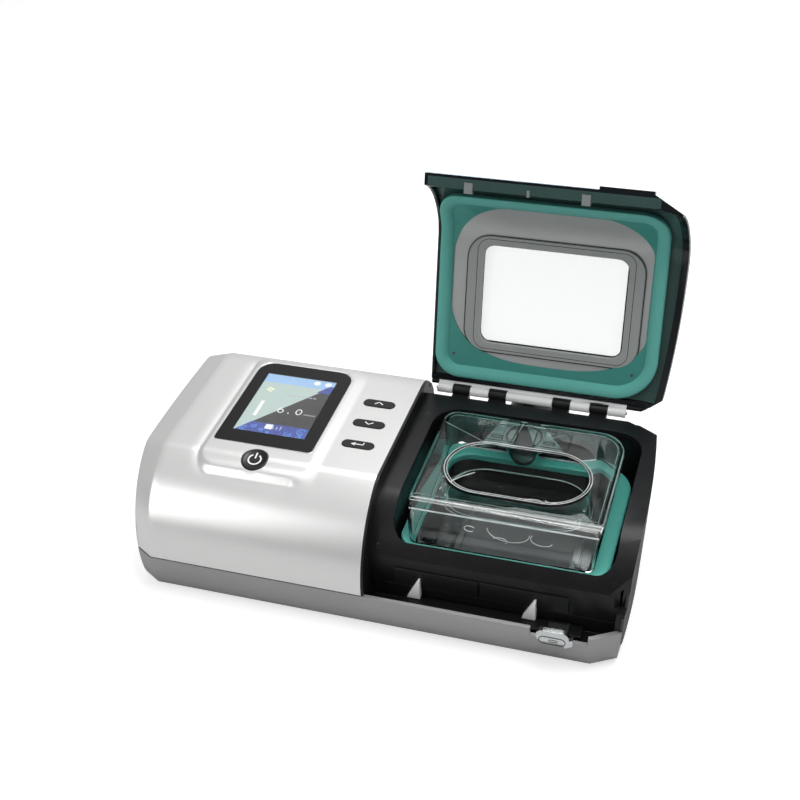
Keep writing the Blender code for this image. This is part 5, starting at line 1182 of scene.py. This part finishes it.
def roof_detail(radius):
    """Moulded detail of the roof: the air channel's sloping sides and the ribs as painted teal highlights,
    two bare outlines, and white painted highlights along the embossing.
    """
    _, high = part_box("tank_cover")
    top = high.z
    # Pale teal sheets in the glint finish: painted highlights on the channel's sides.
    teal = glint_finish("channel_teal_highlight", (0.50, 0.78, 0.74), 0.22)
    for side, points in (
        ("left", ((0.0470, 0.0170), (0.0640, 0.0240), (0.0660, 0.0452), (0.0545, 0.0450))),
        ("right", ((0.0800, 0.0225), (0.0985, 0.0215), (0.0810, 0.0450), (0.0700, 0.0452))),
    ):
        bm = bmesh.new()
        plate(bm, points, top - 0.0022, top - 0.0019)
        piece(f"channel_wall_{side}", bm, teal, "tank")
    dark = moulded("frame_print", (0.010, 0.012, 0.012), 0.5, specular=0.2)
    bm = bmesh.new()
    for left, right in ((0.0462, 0.0672), (0.0785, 0.0998)):
        outline = rounded(left, right, 0.0235, 0.0392, (0.0014,) * 4, 4)
        slot = rounded(left + 0.0060, left + 0.0128, 0.0262, 0.0285, (0.0008,) * 4, 3)
        stroke(bm, outline, 0.00038, top + LIFT, top + THIN, True)
        stroke(bm, slot, 0.00042, top + LIFT, top + THIN, True)
    for left, right in ((0.0585, 0.0668), (0.0705, 0.0790)):
        strip = ((left, 0.0441), (right, 0.0441), (right, 0.0449), (left, 0.0449))
        plate(bm, strip, top + LIFT, top + THIN)
    piece("roof_frames", bm, dark, "tank")
    near = top - 0.0004
    ribs = (
        ((0.0215, 0.0340, near), (0.0495, 0.0200, near)),
        ((0.0685, 0.0440, near), (0.0655, 0.0235, top - 0.0010), (0.0600, 0.0205, top - 0.0010)),
        ((0.0480, 0.0195, near), (0.0820, 0.0212, near)),
    )
    # The ribs are drawn in the teal painted highlight.
    finish = bpy.data.materials["teal_glint"]
    rods("roof_ribs", [(path, radius * 0.6) for path in ribs], finish, "tank")
    paths = []
    for x, y, wide, start, end in BOWL_CURVES:
        ring = arc(x, y, wide, start, end, 14)
        paths.append(([(px, y + (py - y) * 0.5, top - 0.0190) for px, py in ring], radius * 0.6))
    curve = ((0.0300, -0.0120), (0.0330, -0.0060), (0.0400, 0.0010), (0.0470, 0.0060))
    paths.append(([(x, y, top - 0.0150 + 0.10 * (y + 0.012)) for x, y in curve], radius * 0.8))
    for x, z, wide, start, end in FRONT_CURVES:
        ring = enumerate(arc(x, z, wide, start, end, 16))
        path = [(px, -0.0415 - 0.0006 * k / 16, 0.0600 + (pz - 0.0600) * 0.6) for k, (px, pz) in ring]
        paths.append((path, radius * 0.55))
    # White rods: painted highlights along the embossing and the bowl's curves.
    rods("tank_embossing_highlights", paths, bpy.data.materials["edge_glint"], "tank")


# Lid

class OBJECT_OT_machine_lid(bpy.types.Operator):
    """Finishes the open lid, its seal, window and hinge leaf, and adds its small trim"""

    bl_idname = "object.machine_lid"
    bl_label = "Lid"

    def execute(self, context):
        tone = context.scene.machine_colours
        edge = context.scene.machine_sizes.edge
        gloss = moulded("black_gloss", (0.008, 0.010, 0.012), 0.12, mottle=0.1, wear=0.03,
                        grain_height=0.000001, specular=0.4)
        # Black liner with a painted green reflection of the teal seals.
        liner = moulded("smoked_liner", tone.liner, 0.22, mottle=0.12, wear=0.05, grain_height=0.000001,
                        specular=0.35)
        tooth = moulded("tooth_grey", (0.22, 0.24, 0.24), 0.25)
        grey = moulded("grey_inner_plate", tone.plate, 0.34, metallic=0.35, mottle=0.10, mottle_scale=18.0)
        trim = moulded("window_frame_grey", tone.window_frame, 0.30, metallic=0.35)
        for name, finish, width in (
            ("lid_shell", gloss, edge), ("lid_liner", liner, edge), ("lid_tooth_left", tooth, 0.0003),
            ("lid_tooth_right", tooth, 0.0003), ("lid_inner_plate", grey, edge), ("window_frame", trim, edge),
        ):
            dress(name, finish, width)
        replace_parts(gasket_ring(bpy.data.materials["teal_silicone"]), "lid_gasket")
        gasket_web(silicone("web_silicone", tone.web))
        lip_liner(liner)
        dress("lid_window", bpy.data.materials["clear_plastic"], 0.0004)
        dress("lid_hinge_leaf", clear("milky_hinge", (0.97, 0.98, 0.98), 0.25, 0.25), 0.0002)
        lid_ribs(tooth)
        frame_lines()
        gasket_screws()
        lid_edge_reflection()
        return {"FINISHED"}


def gasket_outline():
    """Outline of the lid's gasket, with points along its straight sides too."""
    low, high = closed_box("lid_gasket")
    corners = rounded(low.x, high.x, low.y, high.y, GASKET_RADII, 12)
    points = []
    for here, after in zip(corners, corners[1:] + corners[:1]):
        count = max(1, round(math.dist(here, after) / GASKET_STEP))
        for i in range(count):
            share = i / count
            points.append((here[0] + (after[0] - here[0]) * share, here[1] + (after[1] - here[1]) * share))
    return points


def on_barrel(outline, inset):
    return [(x, y, barrel_z(inset, y)) for x, y in outline]


def gasket_ring(finish):
    """Round-backed silicone ring that follows the lid's curve."""
    outer = gasket_outline()
    inner = inset_loop(outer, GASKET_BAND)
    loops = []
    for across, inset in GASKET_PROFILE:
        pairs = zip(outer, inner)
        blend = [(ox + (ix - ox) * across, oy + (iy - oy) * across) for (ox, oy), (ix, iy) in pairs]
        loops.append(on_barrel(blend, inset))
    bm = bmesh.new()
    rings(bm, loops, closed=True)
    return lid_piece("gasket_ring", bm, finish)


def gasket_web(finish):
    """Thin sheet that fills the gasket's corners round the oval opening."""
    low, high = closed_box("lid_gasket")
    outer = inset_loop(gasket_outline(), GASKET_BAND - 0.0008)
    left, right = low.x + 0.0070, high.x - 0.0045
    front, back = low.y + 0.0055, high.y - 0.0130
    x0, y0 = (left + right) / 2, (front + back) / 2
    opening = []
    for x, y in outer:
        across = (x - x0) / ((right - left) / 2)
        along = (y - y0) / ((back - front) / 2)
        reach = (abs(across) ** WEB_ROUNDNESS + abs(along) ** WEB_ROUNDNESS) ** (1 / WEB_ROUNDNESS)
        scale = min(1 / reach, 0.985)
        opening.append((x0 + (x - x0) * scale, y0 + (y - y0) * scale))
    rim = inset_loop(opening, 0.0002)
    layers = ((outer, 0.0067), (opening, 0.0067), (rim, 0.0064), (opening, 0.0060), (outer, 0.0060))
    bm = bmesh.new()
    rings(bm, [on_barrel(outline, inset) for outline, inset in layers], closed=True)
    lid_piece("gasket_web", bm, finish)


def barrel_bar(bm, left, right, section):
    """A straight bar across the lid. Its section has insets from the barrel and heights."""
    rings(bm, [[(x, barrel_y(inset, z), z) for inset, z in section] for x in (left, right)])


def lip_liner(finish):
    """The liner's turned edge over the rim of the lid's front lip."""
    low, _ = closed_box("lid_shell")
    z = low.z
    section = [(0.0016, z - 0.00015), (0.0074, z - 0.00015), (0.0074, z + 0.0042), (0.0070, z + 0.0042)]
    section += [(0.0070, z + 0.0001), (0.0016, z + 0.0001)]
    bm = bmesh.new()
    barrel_bar(bm, low.x + 0.0020, 0.1385, section)
    lid_piece("lip_liner", bm, finish)


def lid_ribs(tooth):
    """Three ribs inside the lip, the outer two running on from the teeth."""
    bm = bmesh.new()
    for node in ("lid_tooth_left", "lid_tooth_right"):
        near, far = closed_box(node)
        lip_rib(bm, near.x + 0.0002, far.x - 0.0002, 0.0072, 0.0068, far.z, far.z + 0.0060)
        tip_rib(bm, near.x, far.x, 0.0036, 0.0098)
    lip_rib(bm, 0.0625, 0.0642, 0.0084, 0.0066, 0.0378, 0.0440)
    tip_rib(bm, 0.0625, 0.0642, 0.0046, 0.0084)
    lid_piece("lid_ribs", bm, tooth)


def tip_rib(bm, left, right, near, far):
    """The end of a rib, seen on the rim of the lip."""
    low, _ = closed_box("lid_shell")
    tip = low.z
    section = [(near, tip - 0.0005), (far, tip - 0.0005), (far, tip + 0.0006), (near, tip + 0.0006)]
    barrel_bar(bm, left, right, section)


def lip_rib(bm, left, right, deep_low, deep_high, low, high):
    """One upright rib on the liner's inner face."""
    steps = 5
    loops = []
    for k in range(steps + 1):
        z = low + (high - low) * k / steps
        inner = barrel_y(deep_low + (deep_high - deep_low) * k / steps, z)
        outer = barrel_y(0.0040, z)
        loops.append([(left, outer, z), (right, outer, z), (right, inner, z), (left, inner, z)])
    rings(bm, loops)


def lid_ring(name, layers, finish):
    """A closed ring on the lid. Its layers have an outline and a height each."""
    bm = bmesh.new()
    rings(bm, [level(outline, z) for outline, z in layers], closed=True)
    lid_piece(name, bm, finish)


def frame_lines():
    """The dark line in the engraved outline round the window's frame and the pane's dark edge, both painted
    shade, and the pane's black border, whose extra width on the right and back is painted shade.
    """
    low, high = closed_box("window_frame")
    # Dark strips that paint the shade in the groove and at the pane's edge.
    dark = moulded("painted_line_shade", (0.035, 0.042, 0.045), 0.4)
    bm = bmesh.new()
    outline = rounded(low.x - 0.0006, high.x + 0.0006, low.y - 0.0006, high.y + 0.0006, (0.0145,) * 4, 10)
    top = high.z - 0.0003
    stroke(bm, outline, 0.00055, top - 0.0002, top, True)
    lid_piece("frame_groove", bm, dark)
    front = low.z + 0.0001
    low, high = closed_box("lid_window")
    pane = rounded(low.x, high.x, low.y, high.y, (0.0075,) * 4, 8)
    ring = inset_loop(pane, 0.0004)
    layers = ((pane, front), (pane, low.z), (ring, low.z), (ring, front))
    lid_ring("pane_edge", layers, dark)
    # Black border: wider on the right and back, where it paints the frame opening's shade.
    inside = rounded(low.x + 0.0034, high.x - 0.0052, low.y + 0.0034, high.y - 0.0044, (0.0052,) * 4, 8)
    near, far = low.z - 0.0007, low.z - 0.0002
    layers = ((pane, near), (pane, far), (inside, far), (inside, near))
    black = moulded("border_black_and_shade", (0.006, 0.006, 0.007), 0.3)
    lid_ring("pane_border_and_shade", layers, black)


def gasket_screws():
    """Small moulded dots in the corners of the lid's gasket."""
    low, high = closed_box("lid_gasket")
    bm = bmesh.new()
    for x, y in ((low.x + 0.0115, high.y - 0.0150), (high.x - 0.0150, high.y - 0.0160)):
        z = barrel_z(0.0069, y)
        layers = ((0.0010, 0.0004), (0.0010, -0.0002), (0.0007, -0.0003))
        rings(bm, [level(arc(x, y, radius, 0, 330, 11), z + rise) for radius, rise in layers])
    grey = moulded("dot_grey", (0.10, 0.11, 0.11), 0.4, metallic=0.5)
    lid_piece("gasket_dots", bm, grey)


def lid_edge_reflection():
    """The pale line along the lid's outer edge: a painted reflection of the bright room on its gloss black
    shell.
    """
    low, _ = closed_box("lid_shell")
    # Pale blue line: painted reflection along the gloss edge.
    pale = moulded("painted_edge_reflection", (0.62, 0.74, 0.86), 0.25, coat=0.5)
    bm = bmesh.new()
    z = low.z + 0.0008
    path = [(low.x + 0.001, barrel_y(-0.00005, z), z), (0.1335, barrel_y(-0.00005, z), z)]
    tube(bm, path, 0.0004)
    lid_piece("lid_edge_reflection", bm, pale)


class VIEW3D_PT_machine(bpy.types.Panel):
    """Lists the settings and the makers of the breathing machine"""

    bl_idname = "VIEW3D_PT_machine"
    bl_label = "Breathing machine"
    bl_space_type = "VIEW_3D"
    bl_region_type = "UI"
    bl_category = "Breathing machine"

    def draw(self, context):
        for group in (context.scene.machine_colours, context.scene.machine_sizes):
            for name in group.__annotations__:
                self.layout.prop(group, name)
        for maker in MAKERS:
            self.layout.operator(maker.bl_idname)


GROUPS = (MachineColours, MachineSizes)
MAKERS = (
    OBJECT_OT_machine_stage,
    OBJECT_OT_machine_body,
    OBJECT_OT_machine_display,
    OBJECT_OT_machine_housing,
    OBJECT_OT_machine_tank,
    OBJECT_OT_machine_lid,
)


def register():
    for kind in (*GROUPS, *MAKERS, VIEW3D_PT_machine):
        bpy.utils.register_class(kind)
    bpy.types.Scene.machine_colours = PointerProperty(type=MachineColours)
    bpy.types.Scene.machine_sizes = PointerProperty(type=MachineSizes)


def unregister():
    del bpy.types.Scene.machine_sizes
    del bpy.types.Scene.machine_colours
    for kind in reversed((*GROUPS, *MAKERS, VIEW3D_PT_machine)):
        bpy.utils.unregister_class(kind)


def clear_startup():
    for name in ("Cube", "Light", "Camera"):
        thing = bpy.data.objects.get(name)
        if thing:
            bpy.data.objects.remove(thing, do_unlink=True)


def main():
    clear_startup()
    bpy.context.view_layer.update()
    register()
    for maker in MAKERS:
        kind, name = maker.bl_idname.split(".")
        getattr(getattr(bpy.ops, kind), name)()
    bpy.context.view_layer.update()


if __name__ == "__main__":
    main()
